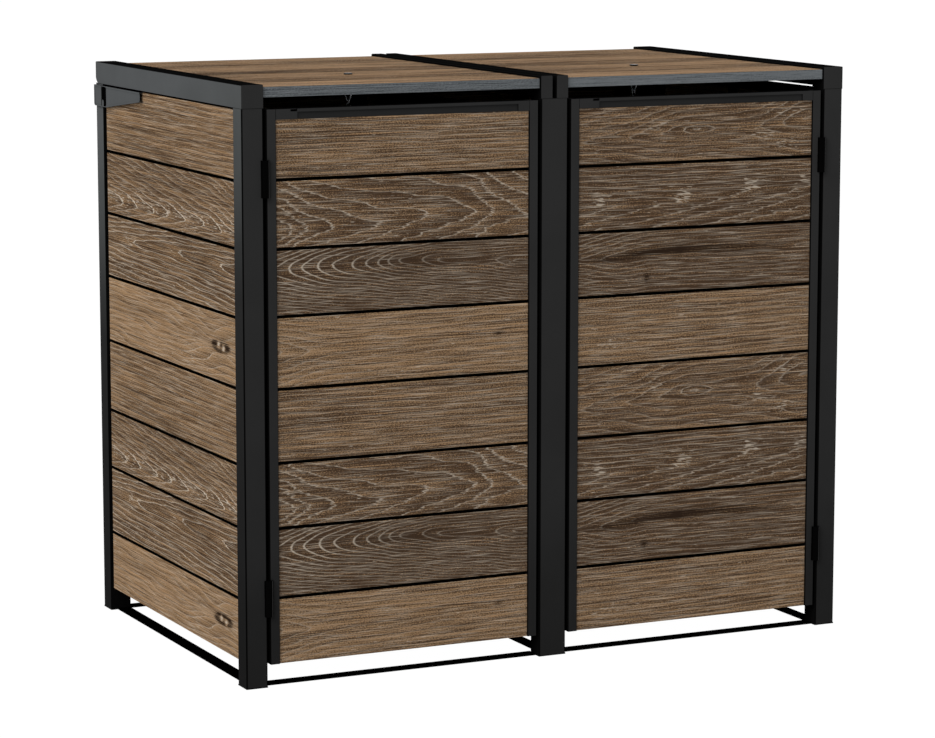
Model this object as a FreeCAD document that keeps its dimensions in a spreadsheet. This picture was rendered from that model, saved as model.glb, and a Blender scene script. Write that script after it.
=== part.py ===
import FreeCAD, Part
import math
import os
import re
import Sketcher

# A double wheelie bin store: a frame of square steel posts clad in boards, two outward doors
# and two lids hinged at the back. Origin at the bottom centre, front towards -Y, millimetres.

SIZES = [
    # the whole store
    ("store_width", 1340),
    ("store_depth", 825),
    ("post_top", 1135),
    ("rail_height", 45),
    # posts and their plastic ends
    ("post_size", 45),
    ("centre_post_width", 60),
    ("centre_post_depth", 40),
    ("post_wall", 2),
    ("post_corner", 3),
    ("cap_flange", 1),
    ("cap_plug", 4),
    ("foot_flange", 2.5),
    ("foot_plug", 12),
    # flat bars on the ground and the beam between the centre posts
    ("bar_thickness", 3),
    ("bar_width", 28),
    ("bar_inset", 15),
    ("beam_size", 40),
    ("beam_drop", 35),
    # cladding
    ("board_thickness", 16),
    ("board_recess", 3.5),
    ("board_gap", 6),
    ("panel_bottom", 50),
    ("panel_top_gap", 4),
    ("batten_width", 40),
    ("batten_thickness", 3),
    ("panel_rail", 20),
    ("panel_rail_inset", 20),
    ("screw_head_radius", 4),
    ("screw_head_height", 2),
    ("screw_radius", 2),
    ("screw_bite", 10),
    # doors
    ("door_gap", 6.5),
    ("door_bottom", 45),
    ("door_top_drop", 3),
    ("stile_width", 19.5),
    ("door_depth", 30),
    ("stile_wall", 1.5),
    ("stile_corner", 1),
    ("top_rail_height", 20),
    ("bottom_rail_height", 25),
    ("door_batten_width", 30),
    ("door_batten_inset", 60),
    ("notch_start", 50),
    ("notch_width", 14),
    ("notch_depth", 5),
    ("grip_end", 44),
    ("grip_lip", 6),
    ("grip_recess", 3),
    # door hinges
    ("barrel_radius", 9),
    ("barrel_length", 72),
    ("barrel_edge", 97),
    ("barrel_pin_radius", 5),
    ("leaf_thickness", 2),
    ("leaf_depth", 26),
    ("running_clearance", 0.05),
    ("wall_clearance", 0.3),
    # magnetic catches behind the free stiles
    ("catch_length", 50),
    ("catch_width", 14),
    ("catch_depth", 9.5),
    ("catch_edge", 150),
    # lids
    ("inner_rail_width", 25),
    ("rail_wall", 2.5),
    ("rail_corner", 2),
    ("rail_opening", 8),
    ("deck_drop", 5),
    ("deck_thickness", 20),
    ("deck_side_gap", 1.5),
    ("deck_front_recess", 4),
    ("edge_strip", 3),
    ("deck_groove", 1),
    ("ledge_width", 15),
    ("ledge_thickness", 3),
    ("ledge_start", 60),
    ("crossbar", 20),
    ("crossbar_lead", 12.5),
    ("crossbar_rear", 35),
    # lid hinges
    ("pivot_rise", 17),
    ("pivot_setback", 16),
    ("pivot_pin_radius", 5),
    ("lug_radius", 10),
    ("lug_width", 10),
    ("lug_foot", 8),
    ("ear_thickness", 3),
    ("ear_clearance", 0.5),
    ("rear_plate_rise", 12),
    # brackets on the rear posts
    ("bracket_proud", 4.5),
    ("bracket_height", 44),
    ("bracket_drop", 3.5),
    ("bracket_wall", 1.5),
    ("bracket_rim", 3.5),
    ("bracket_press", 0.8),
    ("bracket_slot", 28),
    ("bracket_arm", 204),
    ("bracket_tip", 20),
    ("bracket_chamfer", 4),
    ("bracket_tab_height", 15),
    ("bracket_tab_radius", 5),
    # eye bolt and chain under each lid
    ("eye_setback", 275),
    ("eye_cap_radius", 9),
    ("eye_cap_height", 3),
    ("eye_shank_radius", 3),
    ("eye_wire_radius", 1.8),
    ("eye_top_radius", 7.5),
    ("eye_bottom_radius", 4.8),
    ("eye_height", 26.5),
    ("eye_nut_radius", 6),
    ("eye_nut_height", 5),
    ("eye_washer_radius", 9),
    ("eye_washer_height", 1.5),
    ("link_wire_radius", 1.5),
    ("link_radius", 5),
    ("link_straight", 7),
    ("link_clearance", 0.3),
    ("screw_link_straight", 12),
    ("screw_link_sleeve_radius", 2.6),
    ("screw_link_sleeve_length", 8),
]

# Board heights from the ground up. The boards share out the height of their panel in these proportions.
DOOR_BOARDS = [128.5, 132, 123, 139.5, 135.5, 125.5, 128, 113]
SIDE_BOARDS = [120.5, 136, 118.5, 143.5, 132.5, 128.5, 125.5, 134]
SIZES += [(f"door_board_{number}", height) for number, height in enumerate(DOOR_BOARDS, start=1)]
SIZES += [(f"side_board_{number}", height) for number, height in enumerate(SIDE_BOARDS, start=1)]
DECK_BOARDS = 7

doc = FreeCAD.newDocument("bin_store")
sheet = doc.addObject("Spreadsheet::Sheet", "sizes")
for row, (alias, value) in enumerate(SIZES, start=1):
    sheet.set(f"A{row}", alias)
    sheet.set(f"B{row}", str(value))
    sheet.setAlias(f"B{row}", alias)
doc.recompute()
size = {alias: float(getattr(sheet, alias)) for alias, value in SIZES}

PARTS = {}

# Places, as expressions in the sheet's words.
OUTER = "(-store_width / 2)"
POST_INNER = f"({OUTER} + post_size)"
CENTRE = "(-centre_post_width / 2)"
FRONT = "(-(store_depth - barrel_radius) / 2)"
REAR = f"({FRONT} + store_depth)"
TUBE_TOP = "(post_top - cap_flange)"
LID_TOP = "(post_top + rail_height)"
DECK_TOP = f"({LID_TOP} - deck_drop)"
DECK_LOW = f"({DECK_TOP} - deck_thickness)"
PANEL_TOP = "(post_top - panel_top_gap)"
DOOR_TOP = "(post_top - door_top_drop)"
BOARD_BACK = "(board_recess + board_thickness)"
PIVOT_Y = f"({REAR} - pivot_setback)"
PIVOT_Z = "(post_top + pivot_rise)"


def bound(words):
    """The expression with the sheet's name before each of its words."""
    return re.sub(r"[a-z]\w*", lambda word: "sizes." + word.group(0), words)


def flip(span):
    """The same span on the other side of the store's middle plane."""
    low, high = span
    return (f"(-({high}))", f"(-({low}))")


def sided(side, span):
    """A span given for the left half, for the side that is asked."""
    return span if side == "left" else flip(span)


def keep(name, piece):
    """Take the object as the sub-part of that name."""
    piece.Label = name
    PARTS[name] = piece
    return piece


def place(piece, x, y, z):
    """Bind the object's base point to three expressions."""
    for axis, words in (("x", x), ("y", y), ("z", z)):
        piece.setExpression(f"Placement.Base.{axis}", bound(words))
    return piece


def block(x, y, z):
    """A box between two places along each axis."""
    piece = doc.addObject("Part::Box", "block")
    for edge, (low, high) in (("Length", x), ("Width", y), ("Height", z)):
        piece.setExpression(edge, bound(f"({high}) - ({low})"))
    return place(piece, x[0], y[0], z[0])


def rod(radius, length, x, y, z, along="z"):
    """A cylinder from a place, upright or along x."""
    piece = doc.addObject("Part::Cylinder", "rod")
    piece.setExpression("Radius", bound(radius))
    piece.setExpression("Height", bound(length))
    if along == "x":
        piece.Placement = FreeCAD.Placement(FreeCAD.Vector(), FreeCAD.Rotation(FreeCAD.Vector(0, 1, 0), 90))
    return place(piece, x, y, z)


def wedge(x, y, z_front, z_rear):
    """A block whose height differs at its front and rear ends."""
    piece = doc.addObject("Part::Wedge", "wedge")
    ends = {"Xmin": "0", "X2min": "0", "Ymin": "0", "Zmin": z_front[0], "Zmax": z_front[1],
            "Z2min": z_rear[0], "Z2max": z_rear[1]}
    ends["Xmax"] = ends["X2max"] = f"({x[1]}) - ({x[0]})"
    ends["Ymax"] = f"({y[1]}) - ({y[0]})"
    for name, words in ends.items():
        piece.setExpression(name, bound(words))
    return place(piece, x[0], y[0], "0")


def joined(pieces):
    """Several pieces that are made as one."""
    if len(pieces) == 1:
        return pieces[0]
    whole = doc.addObject("Part::MultiFuse", "joined")
    whole.Shapes = pieces
    return whole


def cut(base, *tools):
    """The base less the tools."""
    result = doc.addObject("Part::Cut", "cut")
    result.Base = base
    result.Tool = joined(list(tools))
    return result


def group(pieces):
    """Like pieces that share one name and stay separate solids."""
    result = doc.addObject("Part::Compound", "group")
    result.Links = pieces
    return result


def feature(shape):
    """A shape that is worked out in code."""
    piece = doc.addObject("Part::Feature", "feature")
    piece.Shape = shape
    return piece


def rectangle(sketch, inset, across, up):
    """A rectangle whose lower left corner lies the inset from the origin both ways."""
    first = sketch.GeometryCount
    corners = [FreeCAD.Vector(x, y, 0) for x, y in ((1, 1), (9, 1), (9, 9), (1, 9))]
    for near, far in zip(corners, corners[1:] + corners[:1]):
        sketch.addGeometry(Part.LineSegment(near, far))
    for line in range(4):
        following = first + (line + 1) % 4
        sketch.addConstraint(Sketcher.Constraint("Coincident", first + line, 2, following, 1))
    for line, way in enumerate(("Horizontal", "Vertical", "Horizontal", "Vertical")):
        sketch.addConstraint(Sketcher.Constraint(way, first + line))
    drivers = [("DistanceX", first, 1, first, 2, across), ("DistanceY", first + 1, 1, first + 1, 2, up)]
    if inset:
        drivers += [("DistanceX", -1, 1, first, 1, inset), ("DistanceY", -1, 1, first, 1, inset)]
    else:
        sketch.addConstraint(Sketcher.Constraint("Coincident", first, 1, -1, 1))
    for kind, line, end, other, tail, words in drivers:
        number = sketch.addConstraint(Sketcher.Constraint(kind, line, end, other, tail, 5.0))
        sketch.setExpression(f"Constraints[{number}]", bound(words))


def new_sketch(body, role):
    """A sketch on one of the body's own planes."""
    sketch = body.newObject("Sketcher::SketchObject", "profile")
    plane = [item for item in body.Origin.OriginFeatures if item.Role == role][0]
    sketch.AttachmentSupport = [(plane, "")]
    sketch.MapMode = "FlatFace"
    return sketch


def round_edges(body, below, radius, chosen):
    """Round the edges of the feature below whose bounding box the test accepts."""
    doc.recompute()
    numbered = enumerate(below.Shape.Edges, start=1)
    names = [f"Edge{number}" for number, edge in numbered if chosen(edge.BoundBox)]
    fillet = body.newObject("PartDesign::Fillet", "rounded")
    fillet.Base = (below, names)
    fillet.setExpression("Radius", bound(radius))
    body.Tip = fillet


def tube(x, y, z, wall, corner):
    """An upright tube of rectangular section with rounded outer corners."""
    body = doc.addObject("PartDesign::Body", "tube")
    sketch = new_sketch(body, "XY_Plane")
    across = f"({x[1]}) - ({x[0]})"
    deep = f"({y[1]}) - ({y[0]})"
    rectangle(sketch, None, across, deep)
    rectangle(sketch, wall, f"{across} - 2 * {wall}", f"{deep} - 2 * {wall}")
    pad = body.newObject("PartDesign::Pad", "length")
    pad.Profile = sketch
    pad.setExpression("Length", bound(f"({z[1]}) - ({z[0]})"))
    doc.recompute()
    whole = pad.Shape.BoundBox

    def outer_upright(box):
        at_side = min(box.XMin - whole.XMin, whole.XMax - box.XMax) < 0.01
        return at_side and box.XLength < 0.01 and box.YLength < 0.01

    round_edges(body, pad, corner, outer_upright)
    return place(body, x[0], y[0], z[0])


def rounded_bar(x, y, z, corner):
    """A solid bar along y with its two upper long edges rounded."""
    body = doc.addObject("PartDesign::Body", "bar")
    sketch = new_sketch(body, "XZ_Plane")
    rectangle(sketch, None, f"({x[1]}) - ({x[0]})", f"({z[1]}) - ({z[0]})")
    pad = body.newObject("PartDesign::Pad", "length")
    pad.Profile = sketch
    pad.Reversed = True
    pad.setExpression("Length", bound(f"({y[1]}) - ({y[0]})"))
    doc.recompute()
    whole = pad.Shape.BoundBox

    def upper_long(box):
        return box.ZMin > whole.ZMax - 0.01 and box.XLength < 0.01

    round_edges(body, pad, corner, upper_long)
    return place(body, x[0], y[0], z[0])


def inward(span, gap):
    """A span with the same gap taken off both ends."""
    low, high = span
    return (f"({low} + {gap})", f"({high} - {gap})")


def outward(span, gap="1"):
    """A span made longer at both ends, so that a cut runs right through."""
    low, high = span
    return (f"({low} - {gap})", f"({high} + {gap})")


def beam(x, y, z, wall, along):
    """A straight tube with square corners along x or y."""
    if along == "x":
        return cut(block(x, y, z), block(outward(x), inward(y, wall), inward(z, wall)))
    return cut(block(x, y, z), block(inward(x, wall), outward(y), inward(z, wall)))


def stack(heights, bottom, top):
    """The span of each board of a panel from the ground up: they share out its height in proportion."""
    scale = f"(({top} - {bottom} - {len(heights) - 1} * board_gap) / ({' + '.join(heights)}))"
    spans = []
    for number, name in enumerate(heights):
        below = " + ".join(heights[:number]) or "0"
        low = f"({bottom} + ({below}) * {scale} + {number} * board_gap)"
        spans.append((low, f"({low} + {name} * {scale})"))
    return spans


def fasten(strips, boards, along, sign):
    """A screw wherever a strip crosses a board, its head on the strip, and the holes for them all."""
    doc.recompute()
    way = FreeCAD.Vector(*[sign * (along == axis) for axis in "xyz"])
    across = [axis for axis in "XYZ" if axis.lower() != along]
    head_radius = size["screw_head_radius"]
    head_height = size["screw_head_height"]
    heads = []
    shanks = []
    for strip in strips.Shape.Solids:
        for board in boards.Shape.Solids:
            middle = {along.upper(): getattr(strip.BoundBox, along.upper() + ("Min" if sign > 0 else "Max"))}
            for axis in across:
                low = max(getattr(box, axis + "Min") for box in (strip.BoundBox, board.BoundBox))
                high = min(getattr(box, axis + "Max") for box in (strip.BoundBox, board.BoundBox))
                if high - low > 2 * head_radius:
                    middle[axis] = (low + high) / 2
            if len(middle) < 3:
                continue
            start = FreeCAD.Vector(middle["X"], middle["Y"], middle["Z"])
            reach = getattr(strip.BoundBox, along.upper() + "Length") + size["screw_bite"]
            heads.append(Part.makeCylinder(head_radius, head_height, start - way * head_height, way))
            shanks.append(Part.makeCylinder(size["screw_radius"], reach, start, way))
    screws = feature(Part.makeCompound([head.fuse(shank) for head, shank in zip(heads, shanks)]))
    holes = feature(Part.makeCompound(shanks))
    return screws, holes


# Posts. The front corner posts and the doors' stiles give way to the hinge barrels at their corners.

HALF_BARREL = "(barrel_length / 2)"
BARREL_X = f"({POST_INNER} + door_gap / 2)"
HINGE_LOWS = [f"({DOOR_TOP} - barrel_edge - barrel_length)", "(door_bottom + barrel_edge)"]


def barrel_room(side, fixed_half, moving_half):
    """The space that the hinge barrels need: close round a piece's own halves, clear of the other's."""
    rooms = []
    x = BARREL_X if side == "left" else f"(-{BARREL_X})"
    for low in HINGE_LOWS:
        rooms.append(rod(fixed_half, HALF_BARREL, x, FRONT, low))
        rooms.append(rod(moving_half, HALF_BARREL, x, FRONT, f"({low} + {HALF_BARREL})"))
    return rooms


CORNER_FRONT_Y = (FRONT, f"({FRONT} + post_size)")
CORNER_REAR_Y = (f"({REAR} - post_size)", REAR)
CENTRE_X = (CENTRE, f"(-{CENTRE})")
CENTRE_FRONT_Y = (FRONT, f"({FRONT} + centre_post_depth)")
CENTRE_REAR_Y = (f"({REAR} - centre_post_depth)", REAR)
POST_Z = ("foot_flange", TUBE_TOP)
POST_X = (OUTER, POST_INNER)
WIDER = "(barrel_radius + wall_clearance)"

post_plans = []
for side in ("left", "right"):
    x = sided(side, POST_X)
    front_post = tube(x, CORNER_FRONT_Y, POST_Z, "post_wall", "post_corner")
    keep(f"front_{side}_post", cut(front_post, *barrel_room(side, "barrel_radius", WIDER)))
    keep(f"rear_{side}_post", tube(x, CORNER_REAR_Y, POST_Z, "post_wall", "post_corner"))
    post_plans += [(x, CORNER_FRONT_Y), (x, CORNER_REAR_Y)]
keep("front_centre_post", tube(CENTRE_X, CENTRE_FRONT_Y, POST_Z, "post_wall", "post_corner"))
keep("rear_centre_post", tube(CENTRE_X, CENTRE_REAR_Y, POST_Z, "post_wall", "post_corner"))
post_plans += [(CENTRE_X, CENTRE_FRONT_Y), (CENTRE_X, CENTRE_REAR_Y)]

# Where the lids' rails run, and with them the hinge lugs.
RAIL_X = {"outer": POST_X, "inner": (CENTRE, f"({CENTRE} + inner_rail_width)")}


def middle(span):
    """The middle of a span."""
    return f"(({span[0]} + {span[1]}) / 2)"


def about(centre, half):
    """A span about a middle."""
    return (f"({centre} - {half})", f"({centre} + {half})")


LUG_Y = about(PIVOT_Y, "lug_radius")
PLUG_LOW = f"({TUBE_TOP} - cap_plug)"
NECKS = [sided(side, about(middle(RAIL_X[rail]), "lug_width / 2"))
         for side in ("left", "right") for rail in ("outer", "inner")]

caps = []
feet = []
for x, y in post_plans:
    cap = joined([block(x, y, (TUBE_TOP, "post_top")),
                  block(inward(x, "post_wall"), inward(y, "post_wall"), (PLUG_LOW, TUBE_TOP))])
    if y in (CORNER_REAR_Y, CENTRE_REAR_Y):
        cap = cut(cap, *[block(neck, LUG_Y, outward((PLUG_LOW, "post_top"))) for neck in NECKS])
    caps.append(cap)
    feet.append(joined([block(x, y, ("0", "foot_flange")),
                        block(inward(x, "post_wall"), inward(y, "post_wall"), ("foot_flange", "foot_plug"))]))
keep("post_caps", group(caps))
keep("post_feet", group(feet))

# Flat bars on the ground between the posts, and the beam that ties the centre posts.

BAR_Z = ("0", "bar_thickness")
BAY_X = (POST_INNER, CENTRE)
BETWEEN_CORNERS = (CORNER_FRONT_Y[1], CORNER_REAR_Y[0])
BETWEEN_CENTRES = (CENTRE_FRONT_Y[1], CENTRE_REAR_Y[0])
FRONT_BAR_Y = (f"({FRONT} + bar_inset)", f"({FRONT} + bar_inset + bar_width)")
REAR_BAR_Y = (f"({REAR} - bar_inset - bar_width)", f"({REAR} - bar_inset)")
SIDE_BAR_X = (f"({OUTER} + bar_inset)", f"({OUTER} + bar_inset + bar_width)")
bars = [block(about("0", "bar_width / 2"), BETWEEN_CENTRES, BAR_Z)]
for side in ("left", "right"):
    bars.append(block(sided(side, BAY_X), FRONT_BAR_Y, BAR_Z))
    bars.append(block(sided(side, BAY_X), REAR_BAR_Y, BAR_Z))
    bars.append(block(sided(side, SIDE_BAR_X), BETWEEN_CORNERS, BAR_Z))
keep("base_bars", group(bars))

BEAM_Z = ("(post_top - beam_drop - beam_size)", "(post_top - beam_drop)")
keep("centre_beam", beam(about("0", "beam_size / 2"), BETWEEN_CENTRES, BEAM_Z, "post_wall", "y"))

# Side and back panels: boards, flat battens behind them and a tube along the top and the foot. The
# tube along the top of a side panel is level with the posts and closes the gap under the lid's rail.

PANEL_RAILS_Z = [("(panel_bottom + panel_rail_inset)", "(panel_bottom + panel_rail_inset + panel_rail)"),
                 (f"({PANEL_TOP} - panel_rail_inset - panel_rail)", f"({PANEL_TOP} - panel_rail_inset)")]
SIDE_RAILS_Z = [PANEL_RAILS_Z[0], ("(post_top - panel_rail)", "post_top")]
PANEL_NAMES = [f"side_board_{number}" for number in range(1, len(SIDE_BOARDS) + 1)]
PANEL_BOARDS_Z = stack(PANEL_NAMES, "panel_bottom", PANEL_TOP)
PANEL_Z = ("panel_bottom", PANEL_TOP)
LAYERS = {"boards": ("board_recess", BOARD_BACK),
          "battens": (BOARD_BACK, f"({BOARD_BACK} + batten_thickness)"),
          "rails": (f"({BOARD_BACK} + batten_thickness)", f"({BOARD_BACK} + batten_thickness + panel_rail)")}


def batten_spans(run, inset, width):
    """Three battens across a panel: one near each end and one in the middle."""
    low, high = run
    return [(f"({low} + {inset})", f"({low} + {inset} + {width})"), about(middle(run), f"{width} / 2"),
            (f"({high} - {inset} - {width})", f"({high} - {inset})")]


panel_rails = []
panel_battens = []
cladding_screws = []
for side in ("left", "right"):
    layer = {name: sided(side, (f"({OUTER} + {low})", f"({OUTER} + {high})"))
             for name, (low, high) in LAYERS.items()}
    boards = group([block(layer["boards"], BETWEEN_CORNERS, z) for z in PANEL_BOARDS_Z])
    spans = batten_spans(BETWEEN_CORNERS, "batten_width / 2", "batten_width")
    battens = group([block(layer["battens"], y, PANEL_Z) for y in spans])
    screws, holes = fasten(battens, boards, "x", -1 if side == "left" else 1)
    keep(f"{side}_side_boards", cut(boards, holes))
    panel_battens.append(cut(battens, holes))
    panel_rails += [beam(layer["rails"], BETWEEN_CORNERS, z, "stile_wall", "y") for z in SIDE_RAILS_Z]
    cladding_screws.append(screws)

back_boards = []
for side in ("left", "right"):
    layer = {name: (f"({REAR} - {high})", f"({REAR} - {low})") for name, (low, high) in LAYERS.items()}
    bay = sided(side, BAY_X)
    boards = group([block(bay, layer["boards"], z) for z in PANEL_BOARDS_Z])
    spans = batten_spans(bay, "batten_width / 2", "batten_width")
    battens = group([block(x, layer["battens"], PANEL_Z) for x in spans])
    screws, holes = fasten(battens, boards, "y", 1)
    back_boards.append(cut(boards, holes))
    panel_battens.append(cut(battens, holes))
    panel_rails += [beam(bay, layer["rails"], z, "stile_wall", "x") for z in PANEL_RAILS_Z]
    cladding_screws.append(screws)
keep("back_boards", group(back_boards))
keep("panel_battens", group(panel_battens))
keep("panel_rails", group(panel_rails))
keep("cladding_screws", group(cladding_screws))

# Pressed brackets on the outer sides at the rear posts, each with a tapered arm forwards.

BRACKET_X = (f"({OUTER} - bracket_proud)", OUTER)
BRACKET_INNER = (f"({OUTER} - bracket_proud + bracket_wall)", f"({OUTER} + board_recess)")
BRACKET_FACE = (f"({OUTER} - bracket_proud)", f"({OUTER} - bracket_proud + bracket_wall)")
BRACKET_PRESS = (f"({OUTER} - bracket_proud - 1)", f"({OUTER} - bracket_proud + bracket_press)")
BRACKET_Z = ("(post_top - bracket_drop - bracket_height)", "(post_top - bracket_drop)")
TIP_Z = ("(post_top - bracket_drop - bracket_tip)", "(post_top - bracket_drop)")
SLOT_Y = (f"({REAR} - post_size - bracket_slot)", f"({REAR} - post_size)")
ARM_Y = (f"({REAR} - post_size - bracket_slot - bracket_arm)", f"({REAR} - post_size - bracket_slot)")

for side in ("left", "right"):
    plate_x = sided(side, BRACKET_X)
    face_x = sided(side, BRACKET_FACE)
    hollow_x = sided(side, BRACKET_INNER)
    press_x = sided(side, BRACKET_PRESS)
    over_boards = sided(side, (BRACKET_X[0], f"({OUTER} + board_recess)"))
    hollow_ends = (inward(TIP_Z, "bracket_wall"), inward(BRACKET_Z, "bracket_wall"))
    press_ends = (inward(TIP_Z, "bracket_rim"), inward(BRACKET_Z, "bracket_rim"))
    arm = cut(wedge(over_boards, ARM_Y, TIP_Z, BRACKET_Z), wedge(hollow_x, outward(ARM_Y), *hollow_ends),
              wedge(press_x, ARM_Y, *press_ends))
    chamfer_y = (f"({REAR} - bracket_chamfer)", REAR)
    below = f"({BRACKET_Z[0]} - 1)"
    chamfer = wedge(outward(plate_x), chamfer_y, (below, BRACKET_Z[0]),
                    (below, f"({BRACKET_Z[0]} + bracket_chamfer)"))
    press = block(press_x, inward(CORNER_REAR_Y, "bracket_rim"), press_ends[1])
    plate = cut(block(plate_x, CORNER_REAR_Y, BRACKET_Z), press, chamfer)
    sill = block(over_boards, SLOT_Y, (BRACKET_Z[0], f"({BRACKET_Z[0]} + bracket_wall)"))
    lintel = block(over_boards, SLOT_Y, (f"({BRACKET_Z[1]} - bracket_wall)", BRACKET_Z[1]))
    tab_x = face_x[0]
    tab_front = f"({SLOT_Y[1]} - bracket_slot / 2)"
    tab_y = (tab_front, f"({tab_front} + 2 * bracket_tab_radius)")
    tab_top = f"({BRACKET_Z[0]} + bracket_tab_height - bracket_tab_radius)"
    tab = joined([block(face_x, tab_y, (BRACKET_Z[0], tab_top)),
                  rod("bracket_tab_radius", "bracket_wall", tab_x, middle(tab_y), tab_top, "x")])
    keep(f"{side}_side_bracket", joined([arm, plate, sill, lintel, tab]))

# Door hinges: the lower half of each barrel is on the post and holds the pin, the upper is on the door.

POST_LEAF_X = (POST_INNER, f"({POST_INNER} + leaf_thickness)")
DOOR_LEAF_X = (f"({POST_INNER} + door_gap - leaf_thickness)", f"({POST_INNER} + door_gap)")
LEAF_Y = (FRONT, f"({FRONT} + barrel_radius + leaf_depth)")
PIN_INSET = "leaf_thickness"


def hinge_half(side, low, leaf_x, bore):
    """Half a barrel with its leaf, bored for the pin."""
    x = BARREL_X if side == "left" else f"(-{BARREL_X})"
    barrel = rod("barrel_radius", HALF_BARREL, x, FRONT, low)
    leaf = block(sided(side, leaf_x), LEAF_Y, (low, f"({low} + {HALF_BARREL})"))
    return cut(joined([barrel, leaf]), bore)


post_halves = []
pins = []
door_halves = {}
for side in ("left", "right"):
    x = BARREL_X if side == "left" else f"(-{BARREL_X})"
    door_halves[side] = []
    for low in HINGE_LOWS:
        split = f"({low} + {HALF_BARREL})"
        pin_low = f"({low} + {PIN_INSET})"
        reach = f"({HALF_BARREL} - {PIN_INSET})"
        tight = rod("barrel_pin_radius", HALF_BARREL, x, FRONT, pin_low)
        loose = rod("(barrel_pin_radius + running_clearance)", f"({reach} + running_clearance)", x, FRONT,
                    split)
        post_halves.append(hinge_half(side, low, POST_LEAF_X, tight))
        door_halves[side].append(hinge_half(side, split, DOOR_LEAF_X, loose))
        pins.append(rod("barrel_pin_radius", f"(2 * {reach})", x, FRONT, pin_low))
keep("door_hinge_post_halves", group(post_halves))
keep("door_hinge_pins", group(pins))

# Doors. Both top rails have the same notch and finger recess, the same way round.

DOOR_X = (f"({POST_INNER} + door_gap)", f"({CENTRE} - door_gap)")
DOOR_Y = (FRONT, f"({FRONT} + door_depth)")
DOOR_Z = ("door_bottom", DOOR_TOP)
TOP_RAIL_Z = (f"({DOOR_TOP} - top_rail_height)", DOOR_TOP)
FOOT_RAIL_Z = ("door_bottom", "(door_bottom + bottom_rail_height)")
DOOR_BOARD_Y = (f"({FRONT} + board_recess)", f"({FRONT} + {BOARD_BACK})")
DOOR_BATTEN_Y = (DOOR_BOARD_Y[1], f"({DOOR_BOARD_Y[1]} + batten_thickness)")
DOOR_BATTEN_Z = (FOOT_RAIL_Z[1], TOP_RAIL_Z[0])
DOOR_NAMES = [f"door_board_{number}" for number in range(1, len(DOOR_BOARDS) + 1)]
DOOR_BOARDS_Z = stack(DOOR_NAMES, "door_bottom", TOP_RAIL_Z[0])
RECESSED_Y = f"({FRONT} + grip_recess)"


def top_rail(inside_x, door_left):
    """A folded rail whose front has a recess for the fingers under a lip, and a notch in the lip."""
    whole = block(inside_x, DOOR_Y, TOP_RAIL_Z)
    hollow_y = (f"({RECESSED_Y} + stile_wall)", f"({DOOR_Y[1]} - stile_wall)")
    hollow = block(outward(inside_x), hollow_y, inward(TOP_RAIL_Z, "stile_wall"))
    notch_x = (f"({door_left} + notch_start)", f"({door_left} + notch_start + notch_width)")
    notch_z = (f"({DOOR_TOP} - notch_depth)", f"({DOOR_TOP} + 1)")
    notch = block(notch_x, (f"({FRONT} - 1)", hollow_y[0]), notch_z)
    grip_x = (notch_x[1], f"({door_left} + {DOOR_X[1]} - {DOOR_X[0]} - grip_end)")
    grip_z = (f"({TOP_RAIL_Z[0]} - 1)", f"({DOOR_TOP} - grip_lip)")
    grip = block(grip_x, (f"({FRONT} - 1)", RECESSED_Y), grip_z)
    return cut(whole, hollow, notch, grip)


for side in ("left", "right"):
    hinge_x = (DOOR_X[0], f"({DOOR_X[0]} + stile_width)")
    free_x = (f"({DOOR_X[1]} - stile_width)", DOOR_X[1])
    inside_x = sided(side, (hinge_x[1], free_x[0]))
    hinge_stile = tube(sided(side, hinge_x), DOOR_Y, DOOR_Z, "stile_wall", "stile_corner")
    keep(f"{side}_door_hinge_stile", cut(hinge_stile, *barrel_room(side, WIDER, "barrel_radius")))
    keep(f"{side}_door_free_stile", tube(sided(side, free_x), DOOR_Y, DOOR_Z, "stile_wall", "stile_corner"))
    keep(f"{side}_door_top_rail", top_rail(inside_x, sided(side, DOOR_X)[0]))
    foot_rail_y = (DOOR_BOARD_Y[1], DOOR_Y[1])
    keep(f"{side}_door_foot_rail", beam(inside_x, foot_rail_y, FOOT_RAIL_Z, "stile_wall", "x"))
    boards = group([block(inside_x, DOOR_BOARD_Y, z) for z in DOOR_BOARDS_Z])
    spans = batten_spans(inside_x, "door_batten_inset", "door_batten_width")
    battens = group([block(x, DOOR_BATTEN_Y, DOOR_BATTEN_Z) for x in spans])
    screws, holes = fasten(battens, boards, "y", -1)
    keep(f"{side}_door_boards", cut(boards, holes))
    keep(f"{side}_door_battens", cut(battens, holes))
    keep(f"{side}_door_screws", screws)
    keep(f"{side}_door_hinge_halves", group(door_halves[side]))

# Magnetic catches on the centre post, which stop the doors at their free stiles.

catches = []
for side in ("left", "right"):
    for low in ("(door_bottom + catch_edge)", f"({DOOR_TOP} - catch_edge - catch_length)"):
        catches.append(block(sided(side, (f"({CENTRE} - catch_width)", CENTRE)),
                             (DOOR_Y[1], f"({DOOR_Y[1]} + catch_depth)"), (low, f"({low} + catch_length)")))
keep("magnetic_catches", group(catches))

# Lid hinges: lugs stand in the tops of the rear posts and hold the pins; ears in the rails turn on them.

FOOT_Z = (f"({PLUG_LOW} - lug_foot)", PLUG_LOW)


def lug_neck(x):
    """The upright part of a lug with its round end about the pin."""
    straight = block(x, LUG_Y, (PLUG_LOW, PIVOT_Z))
    head = rod("lug_radius", "lug_width", x[0], PIVOT_Y, PIVOT_Z, "x")
    return joined([straight, head])


def ear(x, top):
    """An ear hanging from the top of a rail to below the pin, round at its end."""
    straight = block(x, LUG_Y, (PIVOT_Z, top))
    head = rod("lug_radius", "ear_thickness", x[0], PIVOT_Y, PIVOT_Z, "x")
    bore = rod("(pivot_pin_radius + running_clearance)", "(ear_thickness + 2)", f"({x[0]} - 1)", PIVOT_Y,
               PIVOT_Z, "x")
    return cut(joined([straight, head]), bore)


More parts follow.
